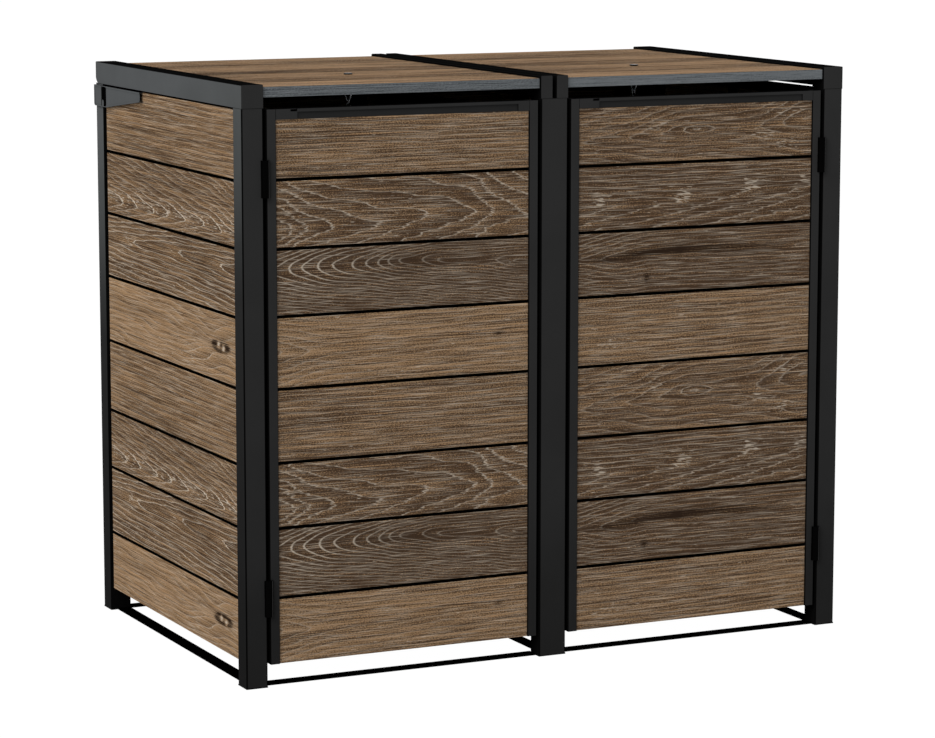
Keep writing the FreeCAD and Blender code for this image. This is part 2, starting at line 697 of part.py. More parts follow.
def pivot_bore(neck):
    """The hole through a lug's neck for its pin."""
    return rod("pivot_pin_radius", "(lug_width + 2)", f"({neck[0]} - 1)", PIVOT_Y, PIVOT_Z, "x")


lugs = []
lid_pins = []
for x, y, necks in ((sided("left", POST_X), CORNER_REAR_Y, [NECKS[0]]),
                    (sided("right", POST_X), CORNER_REAR_Y, [NECKS[2]]),
                    (CENTRE_X, CENTRE_REAR_Y, [NECKS[1], NECKS[3]])):
    foot = block(inward(x, "post_wall"), inward(y, "post_wall"), FOOT_Z)
    whole = joined([foot] + [lug_neck(neck) for neck in necks])
    lugs.append(cut(whole, *[pivot_bore(neck) for neck in necks]))
for neck in NECKS:
    overhang = "(2 * ear_clearance + ear_thickness)"
    lid_pins.append(rod("pivot_pin_radius", f"(lug_width + 2 * {overhang})", f"({neck[0]} - {overhang})",
                        PIVOT_Y, PIVOT_Z, "x"))
keep("lid_hinge_lugs", group(lugs))
keep("lid_hinge_pins", group(lid_pins))

# Lids: two folded rails, ledges and cross bars between them, and a boarded deck on those. Between
# the posts the outer rail's inner wall stops short, to clear the tube along the panel below it.

RAIL_Z = ("post_top", LID_TOP)
DEPTH_Y = (FRONT, REAR)
DECK_Z = (DECK_LOW, DECK_TOP)
LEDGE_Z = (f"({DECK_LOW} - ledge_thickness)", DECK_LOW)
DECK_X = inward((POST_INNER, CENTRE), "deck_side_gap")
DECK_Y = (f"({FRONT} + deck_front_recess + edge_strip)", f"({REAR} - deck_front_recess)")
STRIP_Y = (f"({FRONT} + deck_front_recess)", DECK_Y[0])
MIDDLE_BAR_REAR = f"({middle(DEPTH_Y)} - crossbar_lead)"
CROSSBARS_Y = [(f"({MIDDLE_BAR_REAR} - crossbar)", MIDDLE_BAR_REAR),
               (f"({REAR} - crossbar_rear - crossbar)", f"({REAR} - crossbar_rear)")]
LEDGES_Y = [(f"({FRONT} + ledge_start)", CROSSBARS_Y[0][0]), (CROSSBARS_Y[0][1], CROSSBARS_Y[1][0])]
CROSSBAR_Z = (f"({DECK_LOW} - crossbar)", DECK_LOW)


def lid_rail(x):
    """A rail open below, closed in front, round at its rear lower corner so that it can turn."""
    whole = rounded_bar(x, DEPTH_Y, RAIL_Z, "rail_corner")
    below = "(post_top - 1)"
    hollow = block(inward(x, "rail_wall"), inward(DEPTH_Y, "rail_wall"), (below, f"({LID_TOP} - rail_wall)"))
    past_x = outward(x)
    turning = rod("(pivot_rise - wall_clearance)", f"({past_x[1]} - {past_x[0]})", past_x[0], PIVOT_Y,
                  PIVOT_Z, "x")
    heel = cut(block(past_x, (PIVOT_Y, f"({REAR} + 1)"), (below, PIVOT_Z)), turning)
    open_rear = block(inward(x, "rail_wall"), (f"({REAR} - rail_wall - 1)", f"({REAR} + 1)"),
                      (below, f"({PIVOT_Z} + rear_plate_rise)"))
    return cut(whole, hollow, heel, open_rear)


def deck_boards(x):
    """The deck's boards, equal in width, side by side along the depth with a fine groove between."""
    pitch = f"(({DECK_Y[1]} - {DECK_Y[0]} + deck_groove) / {DECK_BOARDS})"
    boards = []
    for number in range(DECK_BOARDS):
        low = f"({DECK_Y[0]} + {number} * {pitch})"
        boards.append(block(x, (low, f"({low} + {pitch} - deck_groove)"), DECK_Z))
    return boards


def loop(wire, upper, lower, spread, across):
    """A closed loop of round wire about its upper centre: two half turns joined by straight legs."""
    up = FreeCAD.Vector(0, 0, 1)
    foot = up * -spread
    lean = math.asin((upper - lower) / spread)
    out = across * math.cos(lean) - up * math.sin(lean)
    back = across * -math.cos(lean) - up * math.sin(lean)
    start = foot + out * lower
    end = out * upper
    edges = [Part.Arc(end, up * upper, back * upper), Part.LineSegment(back * upper, foot + back * lower),
             Part.Arc(foot + back * lower, foot - up * lower, start), Part.LineSegment(start, end)]
    path = Part.Wire([edge.toShape() for edge in edges])
    ring = Part.Wire(Part.makeCircle(wire, end, end - start))
    return feature(path.makePipeShell([ring], True, False))


EYE_Y = f"({FRONT} + eye_setback)"
EYE_TOP = f"({DECK_LOW} - eye_washer_height - eye_nut_height)"
EYE_LOWEST = f"({EYE_TOP} - eye_height + eye_wire_radius)"
ACROSS = FreeCAD.Vector(1, 0, 0)
AHEAD = FreeCAD.Vector(0, 1, 0)


def eye_bolt(x):
    """An eye on a shank through the deck, with its washer and nut below and a cap above."""
    wire = size["eye_wire_radius"]
    upper = size["eye_top_radius"]
    lower = size["eye_bottom_radius"]
    eye = loop(wire, upper, lower, size["eye_height"] - 2 * wire - upper - lower, ACROSS)
    place(eye, x, EYE_Y, f"({EYE_TOP} - eye_wire_radius - eye_top_radius)")
    shank_low = f"({EYE_TOP} - eye_wire_radius)"
    shank = rod("eye_shank_radius", f"({DECK_TOP} - {shank_low})", x, EYE_Y, shank_low)
    bore = rod("eye_shank_radius", f"({DECK_LOW} - {EYE_TOP} + 2)", x, EYE_Y, f"({EYE_TOP} - 1)")
    nut = cut(rod("eye_nut_radius", "eye_nut_height", x, EYE_Y, EYE_TOP), bore)
    washer_low = f"({EYE_TOP} + eye_nut_height)"
    washer = cut(rod("eye_washer_radius", "eye_washer_height", x, EYE_Y, washer_low), bore)
    cap = rod("eye_cap_radius", "eye_cap_height", x, EYE_Y, DECK_TOP)
    return group([joined([eye, shank]), nut, washer, cap])


def chain(x):
    """Two links hanging in the eye and an oval screw link at the end, each turned square to the last."""
    step = "(2 * link_radius - 2 * link_wire_radius - link_clearance)"
    wire = size["link_wire_radius"]
    turn = size["link_radius"]
    first = f"({EYE_LOWEST} - link_radius + eye_wire_radius + link_wire_radius + link_clearance)"
    second = f"({first} - link_straight - {step})"
    third = f"({second} - link_straight - {step})"
    first_link = place(loop(wire, turn, turn, size["link_straight"], AHEAD), x, EYE_Y, first)
    second_link = place(loop(wire, turn, turn, size["link_straight"], ACROSS), x, EYE_Y, second)
    end_link = place(loop(wire, turn, turn, size["screw_link_straight"], AHEAD), x, EYE_Y, third)
    sleeve_low = f"({third} - screw_link_straight / 2 - screw_link_sleeve_length / 2)"
    sleeve = rod("screw_link_sleeve_radius", "screw_link_sleeve_length", x, f"({EYE_Y} - link_radius)",
                 sleeve_low)
    return group([first_link, second_link, joined([end_link, sleeve])])


for side in ("left", "right"):
    outer_rail = lid_rail(sided(side, RAIL_X["outer"]))
    wall_x = sided(side, outward((f"({POST_INNER} - rail_wall)", POST_INNER), "0.5"))
    opening = block(wall_x, BETWEEN_CORNERS, ("(post_top - 1)", "(post_top + rail_opening)"))
    keep(f"{side}_lid_outer_rail", cut(outer_rail, opening))
    keep(f"{side}_lid_inner_rail", lid_rail(sided(side, RAIL_X["inner"])))
    ears = []
    for neck in NECKS[0:2] if side == "left" else NECKS[2:4]:
        for x in ((f"({neck[0]} - ear_clearance - ear_thickness)", f"({neck[0]} - ear_clearance)"),
                  (f"({neck[1]} + ear_clearance)", f"({neck[1]} + ear_clearance + ear_thickness)")):
            ears.append(ear(x, f"({LID_TOP} - rail_wall)"))
    keep(f"{side}_lid_hinge_ears", group(ears))

    deck = group(deck_boards(sided(side, DECK_X)))
    ledges = []
    for x in ((POST_INNER, f"({POST_INNER} + ledge_width)"), (f"({CENTRE} - ledge_width)", CENTRE)):
        ledges += [block(sided(side, x), y, LEDGE_Z) for y in LEDGES_Y]
    ledges = group(ledges)
    screws, holes = fasten(ledges, deck, "z", 1)
    bars = [beam(sided(side, BAY_X), y, CROSSBAR_Z, "stile_wall", "x") for y in CROSSBARS_Y]
    keep(f"{side}_lid_ledges", cut(ledges, holes))
    keep(f"{side}_lid_cross_bars", group(bars))
    keep(f"{side}_lid_screws", screws)
    keep(f"{side}_lid_edge_strip", block(sided(side, DECK_X), STRIP_Y, DECK_Z))

    bay_middle = middle(sided(side, BAY_X))
    hole = rod("eye_shank_radius", "(deck_thickness + 2)", bay_middle, EYE_Y, f"({DECK_LOW} - 1)")
    keep(f"{side}_lid_deck_boards", cut(deck, holes, hole))
    keep(f"{side}_lid_eye_bolt", eye_bolt(bay_middle))
    keep(f"{side}_chain", chain(bay_middle))

doc.recompute()
bad = [item.Name for item in doc.Objects if {"Invalid", "Error"} & set(item.State)]
for name, piece in PARTS.items():
    if piece.Shape.isNull() or not piece.Shape.isValid():
        bad.append(name)
if bad:
    raise RuntimeError("These objects failed: " + ", ".join(bad))
os.makedirs("parts", exist_ok=True)
for name, piece in PARTS.items():
    piece.Shape.exportStep(f"parts/{name}.step")
print(len(PARTS), "parts written")
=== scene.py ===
# %% [markdown]
# # A wheelie bin store: steel frame, boards, doors and lids
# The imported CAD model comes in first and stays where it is. Blender then adds what a CAD model
# lacks: the camera and the light, the powder coat on the steel, and boards with a drawn grain
# in place of the plain blocks. Everything is in metres, with the front towards -Y.

import bpy
import numpy as np
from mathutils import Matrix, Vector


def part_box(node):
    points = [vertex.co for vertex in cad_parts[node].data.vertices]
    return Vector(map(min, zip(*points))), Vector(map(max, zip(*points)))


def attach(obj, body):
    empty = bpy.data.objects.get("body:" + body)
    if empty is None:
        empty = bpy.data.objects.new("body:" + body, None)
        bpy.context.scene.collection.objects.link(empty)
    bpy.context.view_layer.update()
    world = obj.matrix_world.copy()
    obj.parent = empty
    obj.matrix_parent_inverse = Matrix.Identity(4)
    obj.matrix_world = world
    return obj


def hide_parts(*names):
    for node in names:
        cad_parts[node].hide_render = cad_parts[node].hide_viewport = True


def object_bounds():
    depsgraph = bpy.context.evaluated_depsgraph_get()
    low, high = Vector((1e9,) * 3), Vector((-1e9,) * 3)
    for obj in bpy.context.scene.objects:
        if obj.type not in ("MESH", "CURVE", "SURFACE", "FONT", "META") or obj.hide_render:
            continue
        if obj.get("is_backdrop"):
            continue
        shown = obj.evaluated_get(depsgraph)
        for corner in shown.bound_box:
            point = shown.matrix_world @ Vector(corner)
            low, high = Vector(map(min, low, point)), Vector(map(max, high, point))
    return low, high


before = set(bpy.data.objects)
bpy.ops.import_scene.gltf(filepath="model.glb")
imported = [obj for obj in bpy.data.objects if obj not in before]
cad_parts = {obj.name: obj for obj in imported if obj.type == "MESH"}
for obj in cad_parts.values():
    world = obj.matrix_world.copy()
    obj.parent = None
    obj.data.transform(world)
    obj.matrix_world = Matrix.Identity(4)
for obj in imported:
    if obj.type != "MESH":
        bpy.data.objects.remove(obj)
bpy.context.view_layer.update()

# %% [markdown]
# ## The camera
# The store was photographed from the front and left, a little above the lids, with a long lens.
# The edges of posts and boards that run in the same direction meet at vanishing points, which give
# the lens and the angles; the known height of the posts gives the distance. The lens has no shift:
# its axis runs through the middle of the frame, and the corners still fall within two pixels.

# %% Camera
camera_data = bpy.data.cameras.new("camera")
camera_data.sensor_width = 36
camera_data.lens = 129.38
camera_data.clip_end = 100
camera = bpy.data.objects.new("camera", camera_data)
camera.location = (-3.0536, -6.3559, 1.6150)
camera.rotation_euler = (1.41866, -0.0005, -0.44834)
bpy.context.scene.collection.objects.link(camera)
bpy.context.scene.camera = camera
bpy.context.scene.view_settings.view_transform = "Standard"
print("camera is", round(camera.location.length, 2), "m from the origin")

# %% [markdown]
# ## Helpers
# Colours are written as the hex values that a paint program shows, and one function turns them to
# the linear light that the shaders work in. Another adds a node to a tree: its settings go in as
# keywords, and what feeds its sockets goes in as a table of numbers, colours or other sockets.
# The floor and the world look whiter where a ray meets them without having been scattered, and one
# more helper tells which rays those are.

# %% Colour and node helpers


def colour(code):
    """Linear RGBA of an sRGB hex value: c / 12.92 below 0.04045, else ((c + 0.055) / 1.055) ** 2.4."""
    c = np.array([int(code[i:i + 2], 16) / 255 for i in (1, 3, 5)])
    linear = np.where(c <= 0.04045, c / 12.92, ((c + 0.055) / 1.055) ** 2.4)
    return (*linear.tolist(), 1.0)


def add(tree, kind, feeds=None, **settings):
    """Add a node of a kind, apply its settings, and feed its sockets by name or number."""
    node = tree.nodes.new(kind)
    for name, value in settings.items():
        setattr(node, name, value)
    for name, value in (feeds or {}).items():
        socket = node.inputs[name]
        if isinstance(value, bpy.types.NodeSocket):
            tree.links.new(value, socket)
        else:
            socket.default_value = value
    return node


def new_material(name):
    """An empty node material: its tree, and the shader that the caller feeds."""
    material = bpy.data.materials.new(name)
    material.use_nodes = True
    tree = material.node_tree
    tree.nodes.clear()
    shader = add(tree, "ShaderNodeBsdfPrincipled")
    add(tree, "ShaderNodeOutputMaterial", {"Surface": shader.outputs[0]})
    return material, tree, shader


def fill_ramp(node, stops):
    """Give a colour ramp its stops: pairs of place and colour."""
    ramp = node.color_ramp
    while len(ramp.elements) < len(stops):
        ramp.elements.new(0.5)
    for element, (place, shade) in zip(ramp.elements, stops):
        element.position = place
        element.color = shade
    return node


def seen_directly(tree):
    """One where the ray comes from the camera, a glossy surface or glass: the largest of three flags."""
    path = add(tree, "ShaderNodeLightPath")
    seen = path.outputs["Is Camera Ray"]
    for flag in ("Is Glossy Ray", "Is Transmission Ray"):
        seen = add(tree, "ShaderNodeMath", {0: seen, 1: path.outputs[flag]}, operation="MAXIMUM").outputs[0]
    return seen


print("white is", colour("#ffffff")[:3], "and mid grey is", round(colour("#808080")[0], 3))

# %% [markdown]
# ## Floor and light
# The photograph has the plain white ground of a catalogue picture. A wide matt floor runs under the
# store; the camera sees it nearly white, with only a trace of the store's shadow left, as if the
# studio's sweep were lit on its own. Under the store itself the shadow is whole, so the gaps between
# the boards look dark. The world is an even white dome, as white as the floor where it is seen but
# half as strong where it lights the store, and one large soft lamp stands on the left, because the
# left side of the store is the lighter one.

# %% Floor
FLOOR_REACH = 80
SHADOW_MIDDLE = (0.06, 0.16, 0)
SHADOW_HALF_SIZE = (0.6, 0.26)
floor_mesh = bpy.data.meshes.new("floor")
corners = [(x * FLOOR_REACH, y * FLOOR_REACH, 0) for x, y in ((-1, -1), (1, -1), (1, 1), (-1, 1))]
floor_mesh.from_pydata(corners, [], [(0, 1, 2, 3)])
floor = bpy.data.objects.new("floor", floor_mesh)
bpy.context.scene.collection.objects.link(floor)
floor_material, tree, shader = new_material("white_studio_floor")
shader.inputs["Base Color"].default_value = colour("#e9e9e9")
shader.inputs["Roughness"].default_value = 0.9
shader.inputs["Specular IOR Level"].default_value = 0
on_floor = add(tree, "ShaderNodeTexCoord").outputs["Object"]
offset = add(tree, "ShaderNodeVectorMath", {0: on_floor, 1: SHADOW_MIDDLE}, operation="SUBTRACT")
per_half = (1 / SHADOW_HALF_SIZE[0], 1 / SHADOW_HALF_SIZE[1], 0)
offset = add(tree, "ShaderNodeVectorMath", {0: offset.outputs[0], 1: per_half}, operation="MULTIPLY")
offset = add(tree, "ShaderNodeVectorMath", {0: offset.outputs[0]}, operation="ABSOLUTE")
offset = add(tree, "ShaderNodeSeparateXYZ", {0: offset.outputs[0]})
reach = add(tree, "ShaderNodeMath", {0: offset.outputs[0], 1: offset.outputs[1]}, operation="MAXIMUM")
lit = add(tree, "ShaderNodeMapRange", {"Value": reach.outputs[0], "From Min": 0.9, "From Max": 1.05,
                                       "To Min": 0.0, "To Max": 0.96})
share = add(tree, "ShaderNodeMath", {0: seen_directly(tree), 1: lit.outputs[0]}, operation="MULTIPLY")
white = add(tree, "ShaderNodeEmission", {"Color": colour("#ffffff"), "Strength": 1.04})
blend = add(tree, "ShaderNodeMixShader", {0: share.outputs[0], 1: shader.outputs[0], 2: white.outputs[0]})
output = [n for n in tree.nodes if n.type == "OUTPUT_MATERIAL"][0]
tree.links.new(blend.outputs[0], output.inputs["Surface"])
floor_mesh.materials.append(floor_material)
floor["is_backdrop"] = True
print("floor is", floor.dimensions.x, "m wide")

# %% World and lamp
world = bpy.data.worlds.new("white_dome")
bpy.context.scene.world = world
world.use_nodes = True
tree = world.node_tree
tree.nodes.clear()
strength = add(tree, "ShaderNodeMapRange", {"Value": seen_directly(tree), "To Min": 0.5, "To Max": 1.0})
dome = add(tree, "ShaderNodeBackground", {"Color": colour("#ffffff"), "Strength": strength.outputs[0]})
add(tree, "ShaderNodeOutputWorld", {"Surface": dome.outputs[0]})

lamp_data = bpy.data.lights.new("left_softbox", "SUN")
lamp_data.energy = 2.2
lamp_data.angle = 0.7
lamp = bpy.data.objects.new("left_softbox", lamp_data)
lamp.rotation_euler = (0.95, 0, -1.05)
bpy.context.scene.collection.objects.link(lamp)
print("lamp strength", lamp_data.energy)

# %% [markdown]
# ## Powder coat
# Posts, rails and stiles are square steel tube with a fine-structured black powder coat, nearly matt,
# whose colour carries painted light and shade for each face. The outer sides have a painted reflection of
# the bright upper half of the studio from about 0.8 m upwards, where they turn grey; painted light makes
# the fronts a little lighter towards the top, and painted shade keeps the upper faces and rolled corners
# nearly black. All of that goes by the surface's own direction and height, so it stays in place from
# every side. The flat bars underfoot carry a painted shadow that darkens them to about a tenth. The coat
# has an orange peel of about 3 mm.

# %% Powder coat material
PAINTED_SHADE_HEIGHT = 1.2
DEPTH_SHARE = 0.228
PAINTED_GAP_SHADE_REACH = 0.65
# Painted reflection on the sides and painted light on the fronts, as colours by height.
PAINTED_SIDE_SHADES = [(0, "#1b1b1b"), (0.16, "#1f1f1f"), (0.375, "#222222"), (0.567, "#262626"), (0.64, "#2e2f2f"),
               (0.717, "#3c3d3d"), (0.79, "#444646"), (0.867, "#494b4b"), (0.958, "#4f5152")]
PAINTED_FRONT_SHADES = [(0.04, "#212121"), (0.14, "#232323"), (0.25, "#282828"), (0.9, "#2c2c2c")]


def powder_coat(name, limit=0.2, behind="#0a0a0a", tint=(0.94, 1.06)):
    """Painted light and shade by the surface's direction: |nx| picks the side's painted reflection, by
    (height +
    0.228 * depth) / 1.2 m, or else the front's painted light, by height / 1.2 m. Corners, where |nx * ny| is
    large, and upper faces get painted shade; so do the sides that face a gap, at |x| under 0.65 m, and what
    faces forwards from behind the limit in depth, in the colour behind. A noise mottle scales the colour
    within tint, and a low tint paints a shadow over the whole part."""
    material, tree, shader = new_material(name)
    place = add(tree, "ShaderNodeTexCoord")
    at = add(tree, "ShaderNodeSeparateXYZ", {0: place.outputs["Object"]})
    facing = add(tree, "ShaderNodeVectorMath", {0: place.outputs["Normal"]}, operation="ABSOLUTE")
    facing = add(tree, "ShaderNodeSeparateXYZ", {0: facing.outputs[0]})
    up = add(tree, "ShaderNodeSeparateXYZ", {0: place.outputs["Normal"]})
    height = add(tree, "ShaderNodeMath", {0: at.outputs[2], 1: PAINTED_SHADE_HEIGHT}, operation="DIVIDE")
    level = add(tree, "ShaderNodeMath", {0: at.outputs[1], 1: DEPTH_SHARE / PAINTED_SHADE_HEIGHT,
                                         2: height.outputs[0]}, operation="MULTIPLY_ADD")
    # Painted reflection on the sides by height and depth, and painted light on the fronts by height.
    side = fill_ramp(add(tree, "ShaderNodeValToRGB", {"Fac": level.outputs[0]}),
                     [(stop, colour(shade)) for stop, shade in PAINTED_SIDE_SHADES])
    front = fill_ramp(add(tree, "ShaderNodeValToRGB", {"Fac": height.outputs[0]}),
                      [(stop, colour(shade)) for stop, shade in PAINTED_FRONT_SHADES])
    coat = add(tree, "ShaderNodeMix", {"Factor": facing.outputs[0], "A": front.outputs["Color"],
                                       "B": side.outputs["Color"]}, data_type="RGBA")
    # Painted shade on what faces forwards from behind the limit in depth.
    deep = add(tree, "ShaderNodeMath", {0: at.outputs[1], 1: limit}, operation="GREATER_THAN")
    forwards = add(tree, "ShaderNodeMath", {0: up.outputs[1], 1: -0.5}, operation="LESS_THAN")
    deep = add(tree, "ShaderNodeMath", {0: deep.outputs[0], 1: forwards.outputs[0]}, operation="MULTIPLY")
    # Painted shade on the sides that face a gap.
    middle = add(tree, "ShaderNodeMath", {0: at.outputs[0]}, operation="ABSOLUTE")
    middle = add(tree, "ShaderNodeMath", {0: middle.outputs[0], 1: PAINTED_GAP_SHADE_REACH}, operation="LESS_THAN")
    painted_gap_shade = add(tree, "ShaderNodeMath", {0: middle.outputs[0], 1: facing.outputs[0]}, operation="MULTIPLY")
    # Painted shade in the rolled corners and on the upper faces.
    across = add(tree, "ShaderNodeMath", {0: facing.outputs[0], 1: facing.outputs[1]}, operation="MULTIPLY")
    corner = add(tree, "ShaderNodeMapRange", {"Value": across.outputs[0], "From Min": 0.05, "From Max": 0.3})
    above = add(tree, "ShaderNodeMapRange", {"Value": up.outputs[2], "From Min": 0.2, "From Max": 0.6})
    for factor, shade in ((deep, behind), (painted_gap_shade, "#0a0a0a"), (corner, "#060606"), (above, "#0c0c0c")):
        coat = add(tree, "ShaderNodeMix", {"Factor": factor.outputs[0], "A": coat.outputs["Result"],
                                           "B": colour(shade)}, data_type="RGBA")
    mottle = add(tree, "ShaderNodeTexNoise", {"Vector": place.outputs["Object"], "Scale": 9.0, "Detail": 3.0})
    gain = add(tree, "ShaderNodeMapRange", {"Value": mottle.outputs["Fac"], "From Min": 0.3, "From Max": 0.7,
                                            "To Min": tint[0], "To Max": tint[1]})
    coat = add(tree, "ShaderNodeVectorMath", {0: coat.outputs["Result"], "Scale": gain.outputs[0]},
               operation="SCALE")
    tree.links.new(coat.outputs[0], shader.inputs["Base Color"])
    peel = add(tree, "ShaderNodeTexNoise", {"Vector": place.outputs["Object"], "Scale": 330.0, "Detail": 1.0})
    bump = add(tree, "ShaderNodeBump", {"Height": peel.outputs["Fac"], "Strength": 0.12, "Distance": 0.0004})
    tree.links.new(bump.outputs[0], shader.inputs["Normal"])
    shader.inputs["Roughness"].default_value = 0.6
    shader.inputs["Specular IOR Level"].default_value = 0.0
    return material


recess_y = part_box("left_door_top_rail")[0].y + 0.001
black_coat = powder_coat("matt_powder_coat")
# Painted shade in the recess of the doors' top rails, behind this depth.
painted_recess_shade_coat = powder_coat("matt_powder_coat_painted_recess_shade", recess_y, "#252525")
# A tint of 0.1 to 0.14 paints a shadow over the flat bars underfoot.
painted_shadow_coat = powder_coat("matt_powder_coat_painted_shadow", tint=(0.1, 0.14))
print("powder coat nodes:", len(black_coat.node_tree.nodes))
print("the recess starts at y =", round(recess_y, 4))

# %% [markdown]
# ## Gloss paint, plastic and zinc
# The hinge barrels carry a glossier black than the frame, and each has one bright upright streak, a painted
# highlight.
# The feet, caps and catches are moulded black plastic, duller and slightly grained; the grain of
# such a mould is finer than the picture can show, so it is drawn about 1 mm wide. The eye bolts,
# chains and hidden screws are zinc plated: a pale blue-grey metal with a soft spangle.

# %% Gloss, plastic and zinc materials
# The painted highlight on the hinge barrels stands where the normal's x is this.
PAINTED_HIGHLIGHT_LOOK = 0.55
CAP_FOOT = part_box("left_lid_deck_boards")[1].z + 0.0001


def moulded_plastic(name, shade, roughness):
    """Black polypropylene from a spark-eroded mould: matt, with a grain of about 1 mm."""
    material, tree, shader = new_material(name)
    place = add(tree, "ShaderNodeTexCoord")
    grain = add(tree, "ShaderNodeTexNoise", {"Vector": place.outputs["Object"], "Scale": 900.0,
                                             "Detail": 2.0})
    tint = add(tree, "ShaderNodeMapRange", {"Value": grain.outputs["Fac"], "To Min": 0.8, "To Max": 1.2})
    dyed = add(tree, "ShaderNodeVectorMath", {0: colour(shade)[:3], "Scale": tint.outputs[0]},
               operation="SCALE")
    tree.links.new(dyed.outputs[0], shader.inputs["Base Color"])
    bump = add(tree, "ShaderNodeBump", {"Height": grain.outputs["Fac"], "Strength": 0.3, "Distance": 0.0003})
    tree.links.new(bump.outputs[0], shader.inputs["Normal"])
    shader.inputs["Roughness"].default_value = roughness
    shader.inputs["Specular IOR Level"].default_value = 0.05
    return material


def gloss_paint(name, shade, streak):
    """Stoved gloss enamel on turned steel, with waves of about 20 mm in the film and a painted highlight: an
    upright streak where the barrel's surface looks towards nx = 0.55 in front."""
    material, tree, shader = new_material(name)
    place = add(tree, "ShaderNodeTexCoord")
    wave = add(tree, "ShaderNodeTexNoise", {"Vector": place.outputs["Object"], "Scale": 50.0, "Detail": 2.0})
    tint = add(tree, "ShaderNodeMapRange", {"Value": wave.outputs["Fac"], "To Min": 0.8, "To Max": 1.2})
    looks = add(tree, "ShaderNodeSeparateXYZ", {0: place.outputs["Normal"]})
    # Painted highlight: an upright streak where the normal's x is near 0.55.
    strip = add(tree, "ShaderNodeMath", {0: looks.outputs[0], 1: PAINTED_HIGHLIGHT_LOOK}, operation="SUBTRACT")
    strip = add(tree, "ShaderNodeMath", {0: strip.outputs[0]}, operation="ABSOLUTE")
    strip = add(tree, "ShaderNodeMapRange", {"Value": strip.outputs[0], "From Min": 0.05, "From Max": 0.1,
                                             "To Min": 1.0, "To Max": 0.0})
    coat = add(tree, "ShaderNodeMix", {"Factor": strip.outputs[0], "A": colour(shade), "B": colour(streak)},
               data_type="RGBA")
    coat = add(tree, "ShaderNodeVectorMath", {0: coat.outputs["Result"], "Scale": tint.outputs[0]},
               operation="SCALE")
    tree.links.new(coat.outputs[0], shader.inputs["Base Color"])
    bump = add(tree, "ShaderNodeBump", {"Height": wave.outputs["Fac"], "Strength": 0.05, "Distance": 0.001})
    tree.links.new(bump.outputs[0], shader.inputs["Normal"])
    shader.inputs["Roughness"].default_value = 0.25
    shader.inputs["Specular IOR Level"].default_value = 0.01
    return material


def zinc_plate(name, capped=False):
    """Zinc on steel with a spangle of about 3 mm; the eye bolt's head above the deck is capped in black."""
    material, tree, shader = new_material(name)
    place = add(tree, "ShaderNodeTexCoord")
    spangle = add(tree, "ShaderNodeTexVoronoi", {"Vector": place.outputs["Object"], "Scale": 330.0})
    metal = fill_ramp(add(tree, "ShaderNodeValToRGB", {"Fac": spangle.outputs["Color"]}),
                      [(0, colour("#9aa0a4")), (1, colour("#d6d9db"))])
    rough = add(tree, "ShaderNodeMapRange", {"Value": spangle.outputs["Distance"], "To Min": 0.15,
                                             "To Max": 0.35})
    tree.links.new(rough.outputs[0], shader.inputs["Roughness"])
    if not capped:
        tree.links.new(metal.outputs["Color"], shader.inputs["Base Color"])
        shader.inputs["Metallic"].default_value = 1.0
        return material
    height = add(tree, "ShaderNodeSeparateXYZ", {0: place.outputs["Object"]})
    above = add(tree, "ShaderNodeMath", {0: height.outputs[2], 1: CAP_FOOT}, operation="GREATER_THAN")
    skin = add(tree, "ShaderNodeMix", {"Factor": above.outputs[0], "A": metal.outputs["Color"],
                                       "B": colour("#0a0807")}, data_type="RGBA")
    tree.links.new(skin.outputs["Result"], shader.inputs["Base Color"])
    bare = add(tree, "ShaderNodeMath", {0: 1.0, 1: above.outputs[0]}, operation="SUBTRACT")
    tree.links.new(bare.outputs[0], shader.inputs["Metallic"])
    shader.inputs["Specular IOR Level"].default_value = 0.05
    return material


# The third colour is the painted highlight's.
gloss = gloss_paint("gloss_black_enamel_painted_highlight", "#020202", "#3c3c3c")
plastic = moulded_plastic("black_polypropylene", "#060606", 0.6)
catch_plastic = moulded_plastic("black_nylon", "#101010", 0.5)
zinc = zinc_plate("zinc_plated_steel")
capped_zinc = zinc_plate("zinc_plated_eye_bolt", capped=True)
print("materials so far:", len(bpy.data.materials))

# %% [markdown]
# ## The boards: limed oak
# The boards are faced with limed oak: brown wood whose open pores and growth lines hold a pale
# grey wax. Straight grain shows as fine streaks, and where the saw cut through the curve of the
# tree, the growth rings come out as nested arches, called cathedrals. So the grain needs two
# things. A ring number for each point of a board says which growth ring it lies in; numpy works it
# out on a fine mesh, because arches and knots are easy as formulas. The shader then draws a pale
# line wherever the number passes a whole one, and adds pores and streaks too fine for a mesh.

# %% A growth ring field
CREST_SHIFTS = (-0.03, -0.015, 0, 0.015, 0.03)


def arches(a, b, axis, crests, spread, rounding):
    """Ring number = (distance from the arches' axis, rounded at the tip) / spread + a number that changes
    along the board: it rises where the tips point right and falls where they point left. a and b run
    from 0 to 1 along the board and down it; axis and crests are (place, value) pairs, and spread has
    one value for above the axis and one for below. The crests are a mean over 0.06 of the board's
    length, which takes the kinks out, and the rings wander by two crossed sines."""
    away = b - np.interp(a, *zip(*axis))
    crest = np.mean([np.interp(a + shift, *zip(*crests)) for shift in CREST_SHIFTS], axis=0)
    wander = 0.1 * np.sin(19 * a + 13 * b) + 0.05 * np.sin(47 * a - 23 * b)
    return (np.hypot(away, rounding) - rounding) / np.where(away < 0, *spread) + crest + wander


def spot(a, b, place, size):
    """A soft oval: e to the power of minus the squared distance from its middle, in half widths."""
    return np.exp(-((a - place[0]) / size[0]) ** 2 - ((b - place[1]) / size[1]) ** 2)


print("ring number at a crest:", arches(0.5, 0.5, [(0, 0.5)], [(0, 0), (1, 4)], (0.1, 0.1), 0.02))

# %% [markdown]
# ## Four figures for each panel
# The facing repeats every four boards, and each panel is cut from another stretch of it. A figure
# is a function of a and b that gives the ring number, how much wax the lines hold, and a stain:
# above zero for a dark knot, below zero for a pale patch.

# %% Figures of the left door


